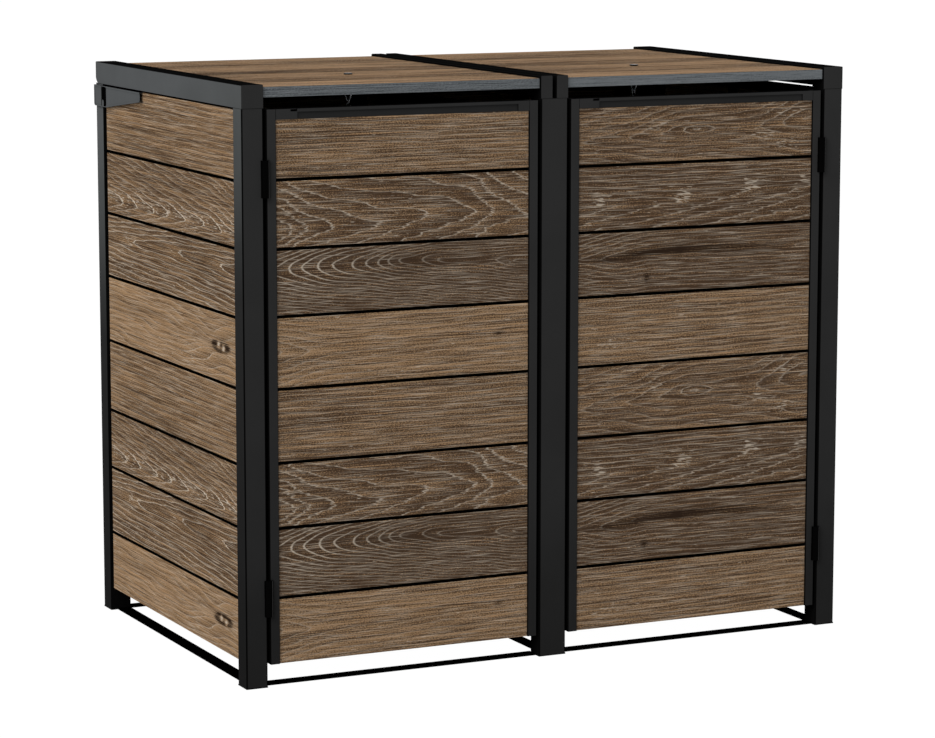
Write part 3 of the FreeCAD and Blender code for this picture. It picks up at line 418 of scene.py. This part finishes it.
def straight(a, b, wave=0.0):
    """Straight grain: one ring to every eleventh of the height, with slow uneven waves along the board."""
    waves = 0.6 * np.sin(5 * a + 3 * b) + 0.25 * np.sin(13 * a + 9 * b) + 0.15 * np.sin(29 * a)
    return b / 0.09 + wave * waves


def left_calm(a, b):
    """Straight grain, with more wax in an oval towards the right."""
    return straight(a, b, 0.35), 0.4 + 0.5 * spot(a, b, (0.8, 0.35), (0.3, 0.2)), 0 * a


def left_feathers(a, b):
    """Arches with tips that point right, on an axis low in the board; they spread wider to the right."""
    above = np.interp(a, [0, 0.6], [0.15, 0.24])
    below = np.interp(a, [0, 0.6], [0.1, 0.2])
    ring = arches(a, b, [(0, 0.74), (0.4, 0.7), (0.6, 0.6), (0.8, 0.58), (1, 0.68)],
                  [(0.02, 0), (0.055, 1), (0.11, 2), (0.225, 3), (0.39, 4), (0.6, 5), (0.785, 6), (0.84, 7),
                   (0.99, 8)], (above, below), 0.06)
    return ring, 0.72 + 0 * a, -0.2 * spot(a, b, (0.4, 0.5), (0.25, 0.2))


def left_nest(a, b):
    """Narrow arches with tips that point left, high in the board, and two dark ovals."""
    ring = arches(a, b, [(0, 0.3), (0.3, 0.26), (0.6, 0.26), (1, 0.36)],
                  [(0.005, 10), (0.05, 9), (0.105, 8), (0.155, 7), (0.21, 6), (0.29, 5), (0.355, 4), (0.4, 3),
                   (0.44, 2), (0.47, 1), (0.565, 0), (0.62, -1), (0.865, -2), (0.93, -3)],
                  (0.04, 0.045), np.interp(a, [0, 0.3, 0.5], [0.3, 0.22, 0.08]))
    dark = 0.35 * spot(a, b, (0.5, 0.3), (0.3, 0.2)) + 0.6 * spot(a, b, (0.97, 0.42), (0.04, 0.05))
    return ring, 0.4 + 0.5 * spot(a, b, (0.15, 0.35), (0.3, 0.4)), dark


def left_warm(a, b):
    """Two tips at the left end that point right, straight grain beyond them, and a small dark knot."""
    ring = arches(a, b, [(0, 0.5), (1, 0.4)], [(-0.1, 0), (0.03, 1), (0.13, 2), (0.22, 2.5), (1, 2.6)],
                  (0.1, 0.1), 0.04)
    return ring, 0.4 + 0 * a, 0.9 * spot(a, b, (0.88, 0.42), (0.018, 0.03))


print("stain of the small knot:", round(float(left_warm(0.88, 0.42)[2]), 2))

# %% Figures of the right door


def right_calm(a, b):
    """Arches with tips that point left, an eye in the middle, which lowers the ring number by 1.7, and
    four pale patches."""
    ring = arches(a, b, [(0, 0.6), (0.25, 0.55), (0.5, 0.44), (0.77, 0.44), (1, 0.3)],
                  [(0, 5), (0.24, 4), (0.34, 3), (0.42, 2.6), (0.6, 2.4), (0.76, 2), (0.87, 1), (0.95, 0)],
                  (0.13, 0.13), 0.05)
    eye = spot(a, b, (0.5, 0.44), (0.06, 0.08))
    ring = ring - 1.7 * eye
    pale = (spot(a, b, (0.34, 0.36), (0.05, 0.08)) + spot(a, b, (0.78, 0.6), (0.06, 0.1))
            + spot(a, b, (0.9, 0.2), (0.06, 0.08)) + spot(a, b, (0.9, 0.75), (0.05, 0.08)))
    return ring, 0.34 + 0.35 * pale + 0.45 * eye, 0.15 * eye - 0.45 * pale


def right_chevrons(a, b):
    """Wide arches with pale tips that point right."""
    ring = arches(a, b, [(0, 0.66), (0.12, 0.64), (0.45, 0.55), (0.78, 0.45), (1, 0.4)],
                  [(-0.15, 0), (0.1, 1), (0.45, 2), (0.75, 3), (1.0, 4)], (0.09, 0.15), 0.05)
    tips = (spot(a, b, (0.09, 0.52), (0.035, 0.13)) + spot(a, b, (0.45, 0.5), (0.05, 0.15))
            + spot(a, b, (0.75, 0.38), (0.045, 0.15)) + 0.8 * spot(a, b, (0.97, 0.34), (0.035, 0.12)))
    return ring, 0.7 + 0.4 * tips, -0.62 * tips


def right_smoke(a, b):
    """Tips that point left, and a dark streak: e to the power of minus the squared distance from its bent
    middle line, in half widths. One small knot is in the streak and one below it."""
    centre = np.interp(a, [0, 0.15, 0.3, 0.45, 0.7, 1], [0.44, 0.42, 0.34, 0.33, 0.35, 0.36])
    ring = arches(a, b, [(0, 0.44), (0.15, 0.42), (0.3, 0.34), (1, 0.35)],
                  [(0.01, 3), (0.08, 2), (0.2, 1), (0.5, 0.5), (1, 0)], (0.07, 0.07), 0.05)
    along = np.interp(a, [0.02, 0.12, 0.25, 0.45, 0.75, 0.95], [0, 0.6, 1, 1, 0.45, 0])
    streak = along * np.exp(-((b - centre) / 0.06) ** 2)
    knot = 1.8 * spot(a, b, (0.43, 0.34), (0.02, 0.05)) + 1.2 * spot(a, b, (0.29, 0.75), (0.012, 0.07))
    pale = spot(a, b, (0.17, 0.4), (0.05, 0.06))
    return ring, 0.45 + 0.4 * pale, 1.7 * streak + knot - 0.5 * pale


def right_warm(a, b):
    """Straight grain that climbs by 1.2 rings along the board, with pale patches."""
    ring = straight(a, b, 0.4) + 1.2 * a
    pale = (spot(a, b, (0.13, 0.72), (0.09, 0.1)) + 0.6 * spot(a, b, (0.62, 0.45), (0.1, 0.05))
            + 0.6 * spot(a, b, (0.6, 0.88), (0.06, 0.05)))
    return ring, 0.4 + 0.4 * pale, -0.4 * pale


print("wax at a chevron's tip:", round(float(right_chevrons(0.47, 0.58)[1]), 2))

# %% Figures of the side panels


def side_calm(a, b):
    """Straight grain with a swelling in the middle, and three dark bands that drift with one sine and fade
    with another."""
    ring = straight(a, b, 0.3) + 0.5 * spot(a, b, (0.55, 0.45), (0.4, 0.2))
    drift = b - 0.06 * np.sin(4 * a)
    dark = (0.45 * np.exp(-((drift - 0.22) / 0.05) ** 2) + 0.4 * np.exp(-((drift - 0.52) / 0.06) ** 2)
            + 0.3 * np.exp(-((drift - 0.8) / 0.04) ** 2))
    return ring, 0.45 + 0.4 * spot(a, b, (0.7, 0.2), (0.3, 0.1)), dark * (0.6 + 0.4 * np.sin(9 * a + 20 * b))


def side_shells(a, b):
    """Rounded arches with pale tips that point right, low in the board, under a dark band."""
    ring = arches(a, b, [(0, 0.78), (0.4, 0.78), (0.8, 0.78), (1, 0.85)],
                  [(0, 0), (0.13, 1), (0.25, 2), (0.37, 3), (0.5, 4), (0.62, 5), (0.76, 6), (0.85, 6.5),
                   (0.95, 7.5), (1, 8)], (0.1, 0.07), 0.11)
    tips = np.exp(-((b - 0.72) / 0.14) ** 2)
    dark = 0.3 * np.exp(-((b - 0.3) / 0.1) ** 2)
    return ring, 0.6 + 0.9 * tips, dark - 0.35 * tips


def side_arches(a, b):
    """Three wide arches with pale tips that point left, and much wax in the lines."""
    ring = arches(a, b, [(0, 0.35), (0.2, 0.34), (0.55, 0.28), (0.9, 0.3)],
                  [(-0.1, 4), (0.17, 3), (0.53, 2), (0.87, 1), (1.1, 0)], (0.08, 0.09), 0.06)
    tips = (spot(a, b, (0.17, 0.35), (0.04, 0.1)) + spot(a, b, (0.53, 0.3), (0.04, 0.12))
            + spot(a, b, (0.87, 0.3), (0.04, 0.12)))
    dark = 0.35 * spot(a, b, (0.7, 0.35), (0.35, 0.3)) - 0.15 * spot(a, b, (0.3, 0.8), (0.4, 0.2))
    return ring, 1.2 + 0.6 * tips, dark - 0.5 * tips


def side_knot(a, b):
    """Straight grain drawn together at a knot: reach is the distance from its middle in half widths, and the
    stain is 0.9 / (1 + exp(9 * (reach - 1))), with a darker rim at 0.9, two pale marks and a faint band."""
    eye = spot(a, b, (0.86, 0.5), (0.16, 0.26))
    reach = np.hypot((a - 0.885) / 0.06, (b - 0.48) / 0.085)
    core = 0.9 / (1 + np.exp(9 * (reach - 1))) + 0.9 * np.exp(-((reach - 0.9) / 0.25) ** 2)
    marks = spot(a, b, (0.87, 0.46), (0.01, 0.05)) + spot(a, b, (0.905, 0.5), (0.01, 0.05))
    ring = straight(a, b, 1.0) + 3.5 * eye * np.sign(b - 0.48) * (1 - np.exp(-np.abs(b - 0.48) / 0.05))
    pale = spot(a, b, (0.7, 0.8), (0.15, 0.15))
    dark = core - 2.6 * marks + 0.35 * np.exp(-((b - 0.35) / 0.05) ** 2) * (0.5 + 0.5 * np.sin(8 * a))
    return ring, 0.5 + 0.5 * pale, dark - 0.2 * pale


print("stain of the side's knot:", round(float(side_knot(0.885, 0.48)[2]), 2))

# %% [markdown]
# ## A board as a section carried along its length
# A board's section is a rectangle with its corners eased by 0.8 mm and a tongue on its top edge,
# finely divided on the face so that the ring number can bend. The section is repeated at stations
# along the board, and neighbouring sections are joined by quads. All stations come out of one
# array product, and both ends are closed by a polygon. Each point keeps its ring number, wax and
# stain as one attribute, and its lightness, line width and feathering as another. A third is black
# edge and painted shade: the sawn edges and ends are painted black, which also stands for the shade in
# the gaps, and the back is painted darker as shade inside the store. The UV map is the real distance
# along and round the board, in metres, moved on for each board so that no two share their noise.

# %% Board section
EASE = 0.0008
CELL = 0.0045


def section(height, depth, ease, cell, tongue):
    """Up the face, over the top edge, down the back and forward below, each corner a quarter circle: its
    middle + ease * (cos, -sin) of five angles 22.5 degrees apart. A tongue stands on the top edge, a
    third of the depth thick. Columns: up the face, inwards."""
    rows = max(2, round((height - 2 * ease) / cell))
    face = np.stack([np.linspace(ease, height - ease, rows + 1), np.zeros(rows + 1)], axis=1)
    middles = [(height - ease, ease, 90), (height - ease, depth - ease, 0), (ease, depth - ease, -90),
               (ease, ease, -180)]
    turns = []
    for up, inwards, start in middles:
        angle = np.radians(start) - np.radians([0, 22.5, 45, 67.5, 90])
        turns.append(np.stack([up + ease * np.cos(angle), inwards - ease * np.sin(angle)], axis=1))
    turns[0] = turns[0][1:]
    turns[3] = turns[3][:-1]
    top = height + tongue
    ridge = [(height, depth / 3), (top, depth / 3), (top, depth * 2 / 3), (height, depth * 2 / 3)]
    turns.insert(1, np.array(ridge if tongue else []).reshape(-1, 2))
    return np.concatenate([face] + turns)


print("points round a board's section:", len(section(0.13, 0.02, EASE, CELL, 0.0)))

# %% Board surface
LINE_WIDTH = 0.001
LINE_LENGTH = 0.0028
LEAST_WAX = 0.45
LINE_LIMITS = (0.025, 0.3)
SKIN = 0.0003
SMALL_STEP = 0.0005
STEP = 0.006


def board(origin, along, up, size, figure, tone, grain_shift, cell=CELL, step=STEP, tongue=0.0):
    """Points = origin + u * along + v * up + w * inwards, for every station u and section point (v, w);
    inwards = up x along. A line's width in rings = its width in metres * the ring number's slope, which is
    the change over a short step along the board (lean) and down it (fall). A line along the grain holds
    0.45 of the wax of one that crosses it, and the back has straight grain. The tone is how light the wood
    is, and how far its lines feather. Returns points, faces, UV pairs, grain, marks (lightness, line width,
    feathering) and a black edge and painted shade for each point: 1 on the edges and ends, which also
    stands for the shade in the gaps, and 0.3 on the back, as shade inside the store."""
    length, height, depth = size
    lightness, feathering = tone
    inwards = np.cross(up, along)
    outline = section(height, depth, EASE, cell, tongue)
    count = len(outline)
    stations = np.linspace(EASE, length - EASE, max(2, round(length / step)) + 1)
    stations = np.concatenate([[0], stations, [length]])
    u = np.repeat(stations, count)
    v = np.tile(outline[:, 0], len(stations))
    w = np.tile(outline[:, 1], len(stations))
    points = np.asarray(origin) + np.outer(u, along) + np.outer(v, up) + np.outer(w, inwards)

    def look(a, b):
        """The figure on the face, and straight grain everywhere behind it."""
        behind = (straight(a, b, 0.5), 0.3, 0)
        return [np.where(w < SKIN, front, back) for front, back in zip(figure(a, b), behind)]

    ring, wax, stain = look(u / length, 1 - v / height)
    lean = (look(u / length + SMALL_STEP, 1 - v / height)[0] - ring) / (SMALL_STEP * length)
    fall = (look(u / length, 1 - v / height + SMALL_STEP)[0] - ring) / (SMALL_STEP * height)
    across = LINE_LENGTH * np.abs(lean)
    slope = np.hypot(across, LINE_WIDTH * fall)
    crossing = across / np.maximum(slope, 0.001)
    grain = np.stack([ring, wax * (LEAST_WAX + (1 - LEAST_WAX) * crossing), stain], axis=1)
    width = np.clip(slope, *LINE_LIMITS)
    # Black edges and painted shade: edges and ends near black, also standing for the shade in the gaps; the
    # back at 0.3, as shade inside the store.
    black_edge_and_painted_shade = np.where(w < SKIN, 0, np.where(w < depth - SKIN, 1, 0.3))
    black_edge_and_painted_shade = np.where((u == 0) | (u == length), 1, black_edge_and_painted_shade)
    marks = np.stack([lightness + 0 * u, width, feathering * lean / 100], axis=1)

    place, point = np.meshgrid(np.arange(len(stations) - 1), np.arange(count), indexing="ij")
    place = place.ravel()
    point = point.ravel()
    here = place * count
    there = here + count
    after = (point + 1) % count
    quads = np.stack([here + point, there + point, there + after, here + after], axis=1)
    gaps = np.linalg.norm(np.diff(outline, axis=0, append=outline[:1]), axis=1)
    girth = np.concatenate([[0], np.cumsum(gaps)])
    corner_u = stations[np.stack([place, place + 1, place + 1, place], axis=1)]
    corner_v = girth[np.stack([point, point, point + 1, point + 1], axis=1)]
    ends = [list(range(count)), list(range(len(points) - 1, len(points) - 1 - count, -1))]
    end_uv = [outline[:, [1, 0]], outline[::-1, [1, 0]]]
    uv = np.concatenate([np.stack([corner_u.ravel(), corner_v.ravel()], axis=1)] + end_uv) + grain_shift
    return points, quads.tolist() + ends, uv, grain, marks, black_edge_and_painted_shade


sample = board((0, 0, 0), (1, 0, 0), (0, 0, 1), (0.5, 0.13, 0.02), left_calm, (0, 0), 0)
print("a half metre of board has", len(sample[0]), "points")

# %% Panel of boards
SHARP_ANGLE = 0.7


def panel(name, boards, material, body, *stands_for):
    """Several boards in one mesh, with the UV map and the attributes that the oak reads. The piece rides on
    a body of the store and stands for the CAD nodes named last."""
    points, board_faces, uv, grain, marks, black_edge_and_painted_shade = zip(*boards)
    starts = np.cumsum([0] + [len(p) for p in points])
    faces = [[start + corner for corner in face] for start, some in zip(starts.tolist(), board_faces)
             for face in some]
    mesh = bpy.data.meshes.new(name)
    mesh.from_pydata(np.concatenate(points).tolist(), [], faces)
    mesh.uv_layers.new(name="along_the_grain").data.foreach_set("uv", np.concatenate(uv).ravel())
    for label, kind, field, values in (("grain", "FLOAT_VECTOR", "vector", grain),
                                       ("marks", "FLOAT_VECTOR", "vector", marks),
                                       ("black_edge_and_painted_shade", "FLOAT", "value", black_edge_and_painted_shade)):
        attribute = mesh.attributes.new(label, kind, "POINT")
        attribute.data.foreach_set(field, np.concatenate(values).ravel())
    mesh.materials.append(material)
    mesh.shade_smooth()
    mesh.set_sharp_from_angle(angle=SHARP_ANGLE)
    piece = bpy.data.objects.new(name, mesh)
    bpy.context.scene.collection.objects.link(piece)
    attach(piece, body)
    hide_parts(*stands_for)
    euler = len(mesh.vertices) - len(mesh.edges) + len(mesh.polygons)
    print(name, len(mesh.polygons), "faces, points - edges + faces per board:", euler / len(boards))
    return piece


# %% [markdown]
# ## The oak's material
# Limed oak board, printed and brushed: matt, with fine dark pores that run along the grain and a
# pale grey wax in the growth lines. The pores of real oak are about 0.3 mm wide; at that size none
# would show in the picture, so they are drawn 1.6 mm wide. Slow noise along the grain sets the
# broad streaks, and a jagged one shifts the rings along the board, so that the lines, which are rows
# of pores, feather where they cross the grain and run smooth where they follow it.

# %% Oak material
GRAIN_NOISES = [("pores", 0.2, 0.0016, 1.0), ("grit", 0.003, 0.0018, 0.0), ("flecks", 0.08, 0.0015, 1.0),
                ("dashes", 0.06, 0.0018, 1.0), ("rags", 0.022, 0.0034, 1.0), ("jags", 0.03, 0.0026, 1.0)]
BROAD_NOISES = [("streaks", 0.35, 0.003, 2.0), ("bands", 0.6, 0.03, 2.0)]
SHEAR = 0.37
STEADY_LEVEL = 1.57
FEATHER_REACH = 3.5


def limed_oak(name, deep, tan, amber, wax, pore, breadth=1.0, streak=0.8, contrast=1.4):
    """Rings from the mesh, pores and streaks from noise stretched along the grain by real lengths, which the
    two tables give as name, length, width and detail. A noise is read at (along / length + 0.37 * across /
    width, across / width), so that its cells form no columns. Breadth widens the streaks and bands, streak
    is how strong the streaks are, and contrast narrows the range round the mean of the level. Deep and tan
    are the ends of the wood's range, amber its golden streaks, wax the lime in its lines, and pore the
    dark of open pores and knots."""
    material, tree, shader = new_material(name)
    grain = add(tree, "ShaderNodeAttribute", attribute_name="grain")
    values = add(tree, "ShaderNodeSeparateXYZ", {0: grain.outputs["Vector"]})
    marks = add(tree, "ShaderNodeAttribute", attribute_name="marks")
    marks = add(tree, "ShaderNodeSeparateXYZ", {0: marks.outputs["Vector"]})
    uv = add(tree, "ShaderNodeUVMap", uv_map="along_the_grain").outputs[0]
    noises = {}
    broad = [(key, length, width * breadth, detail) for key, length, width, detail in BROAD_NOISES]
    for key, length, width, detail in GRAIN_NOISES + broad:
        along = add(tree, "ShaderNodeVectorMath", {0: uv, 1: (1 / length, SHEAR / width, 0)},
                    operation="DOT_PRODUCT")
        across = add(tree, "ShaderNodeVectorMath", {0: uv, 1: (0, 1 / width, 0)}, operation="DOT_PRODUCT")
        place = add(tree, "ShaderNodeCombineXYZ", {0: along.outputs["Value"], 1: across.outputs["Value"]})
        noises[key] = add(tree, "ShaderNodeTexNoise", {"Vector": place.outputs[0], "Scale": 1.0,
                                                       "Detail": detail}).outputs["Fac"]

    shift = add(tree, "ShaderNodeMath", {0: noises["jags"], 1: 0.5}, operation="SUBTRACT")
    shift = add(tree, "ShaderNodeMath", {0: shift.outputs[0], 1: marks.outputs[2]}, operation="MULTIPLY")
    ring = add(tree, "ShaderNodeMath", {0: shift.outputs[0], 1: FEATHER_REACH, 2: values.outputs[0]},
               operation="MULTIPLY_ADD")
    away = add(tree, "ShaderNodeMath", {0: ring.outputs[0], 1: 0.5}, operation="PINGPONG")
    away = add(tree, "ShaderNodeMath", {0: away.outputs[0], 1: marks.outputs[1]}, operation="DIVIDE")
    line = add(tree, "ShaderNodeMapRange", {"Value": away.outputs[0], "From Min": 0.3, "From Max": 1.2,
                                            "To Min": 1.0, "To Max": 0.0})
    place = add(tree, "ShaderNodeMath", {0: ring.outputs[0]}, operation="FRACT")

    level = marks.outputs[0]
    for source, weight in ((noises["pores"], 1.7), (noises["grit"], 1.4), (noises["streaks"], streak),
                           (noises["bands"], 0.4), (place.outputs[0], -0.35)):
        level = add(tree, "ShaderNodeMath", {0: source, 1: weight, 2: level},
                    operation="MULTIPLY_ADD").outputs[0]
    middle = STEADY_LEVEL + streak / 2
    level = add(tree, "ShaderNodeMapRange", {"Value": level, "From Min": middle - 0.38 / contrast,
                                             "From Max": middle + 0.62 / contrast})
    golden = add(tree, "ShaderNodeMapRange", {"Value": noises["streaks"], "From Min": 0.5, "From Max": 0.7,
                                              "To Min": 0.0, "To Max": 0.3})
    bright = add(tree, "ShaderNodeMix", {"Factor": golden.outputs[0], "A": colour(tan), "B": colour(amber)},
                 data_type="RGBA")
    body = add(tree, "ShaderNodeMix", {"Factor": level.outputs[0], "A": colour(deep),
                                       "B": bright.outputs["Result"]}, data_type="RGBA")

    broken = add(tree, "ShaderNodeMapRange", {"Value": noises["rags"], "From Min": 0.38, "From Max": 0.55,
                                              "To Min": 0.75, "To Max": 1.05})
    held = add(tree, "ShaderNodeMath", {0: line.outputs[0], 1: values.outputs[1]}, operation="MULTIPLY")
    held = add(tree, "ShaderNodeMath", {0: held.outputs[0], 1: broken.outputs[0]}, operation="MULTIPLY")
    loose = add(tree, "ShaderNodeMapRange", {"Value": noises["flecks"], "From Min": 0.56, "From Max": 0.72,
                                             "To Min": 0.0, "To Max": 0.65})
    torn = add(tree, "ShaderNodeMath", {0: noises["rags"], 1: 2.6, 2: -1.3}, operation="MULTIPLY_ADD")
    torn = add(tree, "ShaderNodeMath", {0: torn.outputs[0], 1: values.outputs[2]}, operation="SUBTRACT")
    patch = add(tree, "ShaderNodeMapRange", {"Value": torn.outputs[0], "From Min": 0.5, "From Max": 0.8,
                                             "To Min": 0.0, "To Max": 0.75})
    waxed = add(tree, "ShaderNodeMath", {0: held.outputs[0], 1: loose.outputs[0]}, operation="MAXIMUM")
    waxed = add(tree, "ShaderNodeMath", {0: waxed.outputs[0], 1: patch.outputs[0]}, operation="MAXIMUM")
    waxed = add(tree, "ShaderNodeMath", {0: waxed.outputs[0], 1: 0.85}, operation="MULTIPLY", use_clamp=True)
    limed = add(tree, "ShaderNodeMix", {"Factor": waxed.outputs[0], "A": body.outputs["Result"],
                                        "B": colour(wax)}, data_type="RGBA")

    open_pore = add(tree, "ShaderNodeMapRange", {"Value": noises["dashes"], "From Min": 0.42,
                                                 "From Max": 0.26, "To Min": 0.0, "To Max": 0.6})
    streaky = add(tree, "ShaderNodeMapRange", {"Value": noises["pores"], "From Min": 0.6, "From Max": 0.4,
                                               "To Min": 0.35, "To Max": 1.5})
    stained = add(tree, "ShaderNodeMath", {0: values.outputs[2], 1: streaky.outputs[0]}, operation="MULTIPLY")
    stained = add(tree, "ShaderNodeMath", {0: stained.outputs[0], 1: open_pore.outputs[0]},
                  operation="MAXIMUM", use_clamp=True)
    final = add(tree, "ShaderNodeMix", {"Factor": stained.outputs[0], "A": limed.outputs["Result"],
                                        "B": colour(pore)}, data_type="RGBA")
    # Black edges and painted shade: edges and ends mixed to near black, also standing for the shade in the
    # gaps, and the back part way, as shade inside the store.
    black_edge_and_painted_shade = add(tree, "ShaderNodeAttribute", attribute_name="black_edge_and_painted_shade")
    final = add(tree, "ShaderNodeMix", {"Factor": black_edge_and_painted_shade.outputs["Fac"], "A": final.outputs["Result"],
                                        "B": colour("#030302")}, data_type="RGBA")
    tree.links.new(final.outputs["Result"], shader.inputs["Base Color"])

    rough = add(tree, "ShaderNodeMapRange", {"Value": noises["pores"], "To Min": 0.75, "To Max": 0.6})
    tree.links.new(rough.outputs[0], shader.inputs["Roughness"])
    bump = add(tree, "ShaderNodeBump", {"Height": noises["pores"], "Strength": 0.25, "Distance": 0.0004})
    tree.links.new(bump.outputs[0], shader.inputs["Normal"])
    shader.inputs["Specular IOR Level"].default_value = 0.0
    return material


oak = limed_oak("limed_oak_board", "#443427", "#9b7e5f", "#a47b53", "#c4b8a7", "#2b2018")
deck_oak = limed_oak("limed_oak_deck", "#3a2a1f", "#a8896a", "#ab8059", "#c0b4a2", "#2b2018", 3.0, 3.0, 2.2)
edging = limed_oak("grey_oak_edging", "#3b3f42", "#63676a", "#656869", "#808486", "#313436", 0.6, 0.8, 2.0)
print("oak nodes:", len(oak.node_tree.nodes))

# %% [markdown]
# ## Doors and panels
# The boards stand where the CAD boards stand: each panel's box gives its ends and its face, and the
# boards' heights follow the photograph, where none of the boards is the same height as the next.
# The side boards end 9 mm short of the rear post, which leaves a dark edge there, deepened by the
# painted shade on the boards' ends. A board's tone is a pair: how light it is, and how far its lines
# feather.

# %% Board heights and tones
DOOR_HEIGHTS = np.array([128.5, 132, 123, 139.5, 135.5, 125.5, 128, 113]) / 1000
SIDE_HEIGHTS = np.array([120.5, 136, 118.5, 143.5, 132.5, 128.5, 125.5, 134]) / 1000
BOARD_GAP = 0.006
TONGUE_PLAY = 0.0003
NEXT_REPEAT = 0.011
NEXT_BOARD = 0.4
LEFT_TONES = ((0.07, 0.3), (-0.4, 0.12), (-0.22, 1.0), (-0.1, 0.3))
RIGHT_TONES = ((-0.05, 0.4), (-0.38, 0.3), (-0.35, 1.4), (-0.2, 0.5))
SIDE_TONES = ((0.2, 0.4), (-0.12, 1.0), (-0.1, 0.7), (0.0, 0.4))


def rows(low, heights):
    """Lower end of each board from the ground up: the heights and gaps below it added up."""
    return low + np.concatenate([[0], np.cumsum(heights + BOARD_GAP)[:-1]])


def wall(corner, along, length, heights, depth, figures, tones, seed, cell=CELL, step=STEP):
    """The boards of one panel from the ground up; figures run from the lowest board to the highest, and the
    seed moves the noise along by so many metres. Each board but the highest has a tongue that closes the
    gap above it, behind the face."""
    made = []
    for number, (low, height) in enumerate(zip(rows(corner[2], heights), heights)):
        shift = np.array([seed + NEXT_REPEAT * (number // 4), NEXT_BOARD * (number % 4)])
        tongue = BOARD_GAP - TONGUE_PLAY if number < len(heights) - 1 else 0.0
        made.append(board((corner[0], corner[1], low), along, (0, 0, 1), (length, height, depth),
                          figures[number % 4], tones[number % 4], shift, cell, step, tongue))
    return made


print("a door's boards and gaps add up to", round(DOOR_HEIGHTS.sum() + 7 * BOARD_GAP, 4), "m")

# %% Door boards
LEFT_FIGURES = [left_warm, left_nest, left_feathers, left_calm]
RIGHT_FIGURES = [right_warm, right_smoke, right_chevrons, right_calm]
for side, figures, tones, seed in (("left", LEFT_FIGURES, LEFT_TONES, 0.0),
                                   ("right", RIGHT_FIGURES, RIGHT_TONES, 3.0)):
    low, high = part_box(f"{side}_door_boards")
    boards = wall(low, (1, 0, 0), high.x - low.x, DOOR_HEIGHTS, high.y - low.y, figures, tones, seed)
    panel(f"{side}_door_oak", boards, oak, f"{side}_door", f"{side}_door_boards")

# %% Side boards
SIDE_FIGURES = [side_knot, side_arches, side_shells, side_calm]
REAR_GAP = 0.009
low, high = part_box("left_side_boards")
length = high.y - low.y - REAR_GAP
boards = wall((low.x, high.y - REAR_GAP, low.z), (0, -1, 0), length, SIDE_HEIGHTS, high.x - low.x,
              SIDE_FIGURES, SIDE_TONES, 6.0, cell=0.0033, step=0.004)
panel("left_side_oak", boards, oak, "frame", "left_side_boards")
low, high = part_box("right_side_boards")
boards = wall((high.x, low.y, low.z), (0, 1, 0), length, SIDE_HEIGHTS, high.x - low.x, SIDE_FIGURES,
              SIDE_TONES, 9.0)
panel("right_side_oak", boards, oak, "frame", "right_side_boards")

# %% Back boards
low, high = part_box("back_boards")
half_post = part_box("rear_centre_post")[1].x
back = []
for start, figures, tones, seed in ((high.x, LEFT_FIGURES, LEFT_TONES, 12.0),
                                    (-half_post, RIGHT_FIGURES, RIGHT_TONES, 15.0)):
    back += wall((start, high.y, low.z), (-1, 0, 0), high.x - half_post, SIDE_HEIGHTS, high.y - low.y,
                 figures, tones, seed, cell=0.007, step=0.01)
panel("back_oak", back, oak, "frame", "back_boards")

# %% [markdown]
# ## Lids
# Each lid's deck is made of seven boards side by side, with the grain running across the store. The
# eye bolt's cap stands on the third. The narrow strip in front is a grey edging with its own grain.

# %% Deck boards and edge strips


def deck_grain(a, b):
    """Straight grain for the deck: one ring to each fifth of a board's width, and one slow sine along it."""
    return b / 0.2 + 0.8 * np.sin(4 * a), 0.4 + 0 * a, 0 * a


DECK_BOARDS = 7
DECK_TONES = (0.2, -0.1, 0.1, -0.2, 0.15, -0.05, 0.1)
DECK_GROOVE = 0.001
for side, seed, strip_tone in (("left", 18.0, 0.12), ("right", 21.0, 0.4)):
    low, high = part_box(f"{side}_lid_deck_boards")
    pitch = (high.y - low.y + DECK_GROOVE) / DECK_BOARDS
    boards = [board((low.x, low.y + number * pitch, high.z), (1, 0, 0), (0, 1, 0),
                    (high.x - low.x, pitch - DECK_GROOVE, high.z - low.z), deck_grain,
                    (DECK_TONES[number], 0.3), np.array([seed, NEXT_BOARD * number]), step=0.01)
              for number in range(DECK_BOARDS)]
    panel(f"{side}_deck_oak", boards, deck_oak, f"{side}_lid", f"{side}_lid_deck_boards")
    low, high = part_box(f"{side}_lid_edge_strip")
    strip = board(low, (1, 0, 0), (0, 0, 1), (high.x - low.x, high.z - low.z, high.y - low.y), deck_grain,
                  (strip_tone, 0.3), np.array([seed + 1, 0.1]), cell=0.002, step=0.01)
    piece = panel(f"{side}_edging", [strip], edging, f"{side}_lid", f"{side}_lid_edge_strip")

# %% [markdown]
# ## Finishes on the CAD parts
# The steel, plastic and zinc parts have the right shape already, so they keep their meshes and get
# their finish by name. The plain CAD boards get the oak too, though the drawn boards stand in their
# place.

# %% Finishes by node
# The coats carry painted light and shade: the recess coat a painted recess shade, the underfoot coat a
# painted shadow, and the gloss a painted highlight.
FINISHES = [
    (("door_top_rail",), painted_recess_shade_coat),
    (("base_bars",), painted_shadow_coat),
    (("pins", "screws", "chain"), zinc),
    (("eye_bolt",), capped_zinc),
    (("hinge_halves", "post_halves"), gloss),
    (("post_caps", "post_feet"), plastic),
    (("catches",), catch_plastic),
]
counts = {}
for name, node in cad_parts.items():
    finish = next((m for words, m in FINISHES if any(word in name for word in words)), black_coat)
    if name.endswith(("boards", "strip")):
        finish = oak
    node.data.materials.clear()
    node.data.materials.append(finish)
    counts[finish.name] = counts.get(finish.name, 0) + 1
print(counts)

# %% The visual box
low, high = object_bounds()
print("visual box, m:", [round(c, 4) for c in low], [round(c, 4) for c in high])
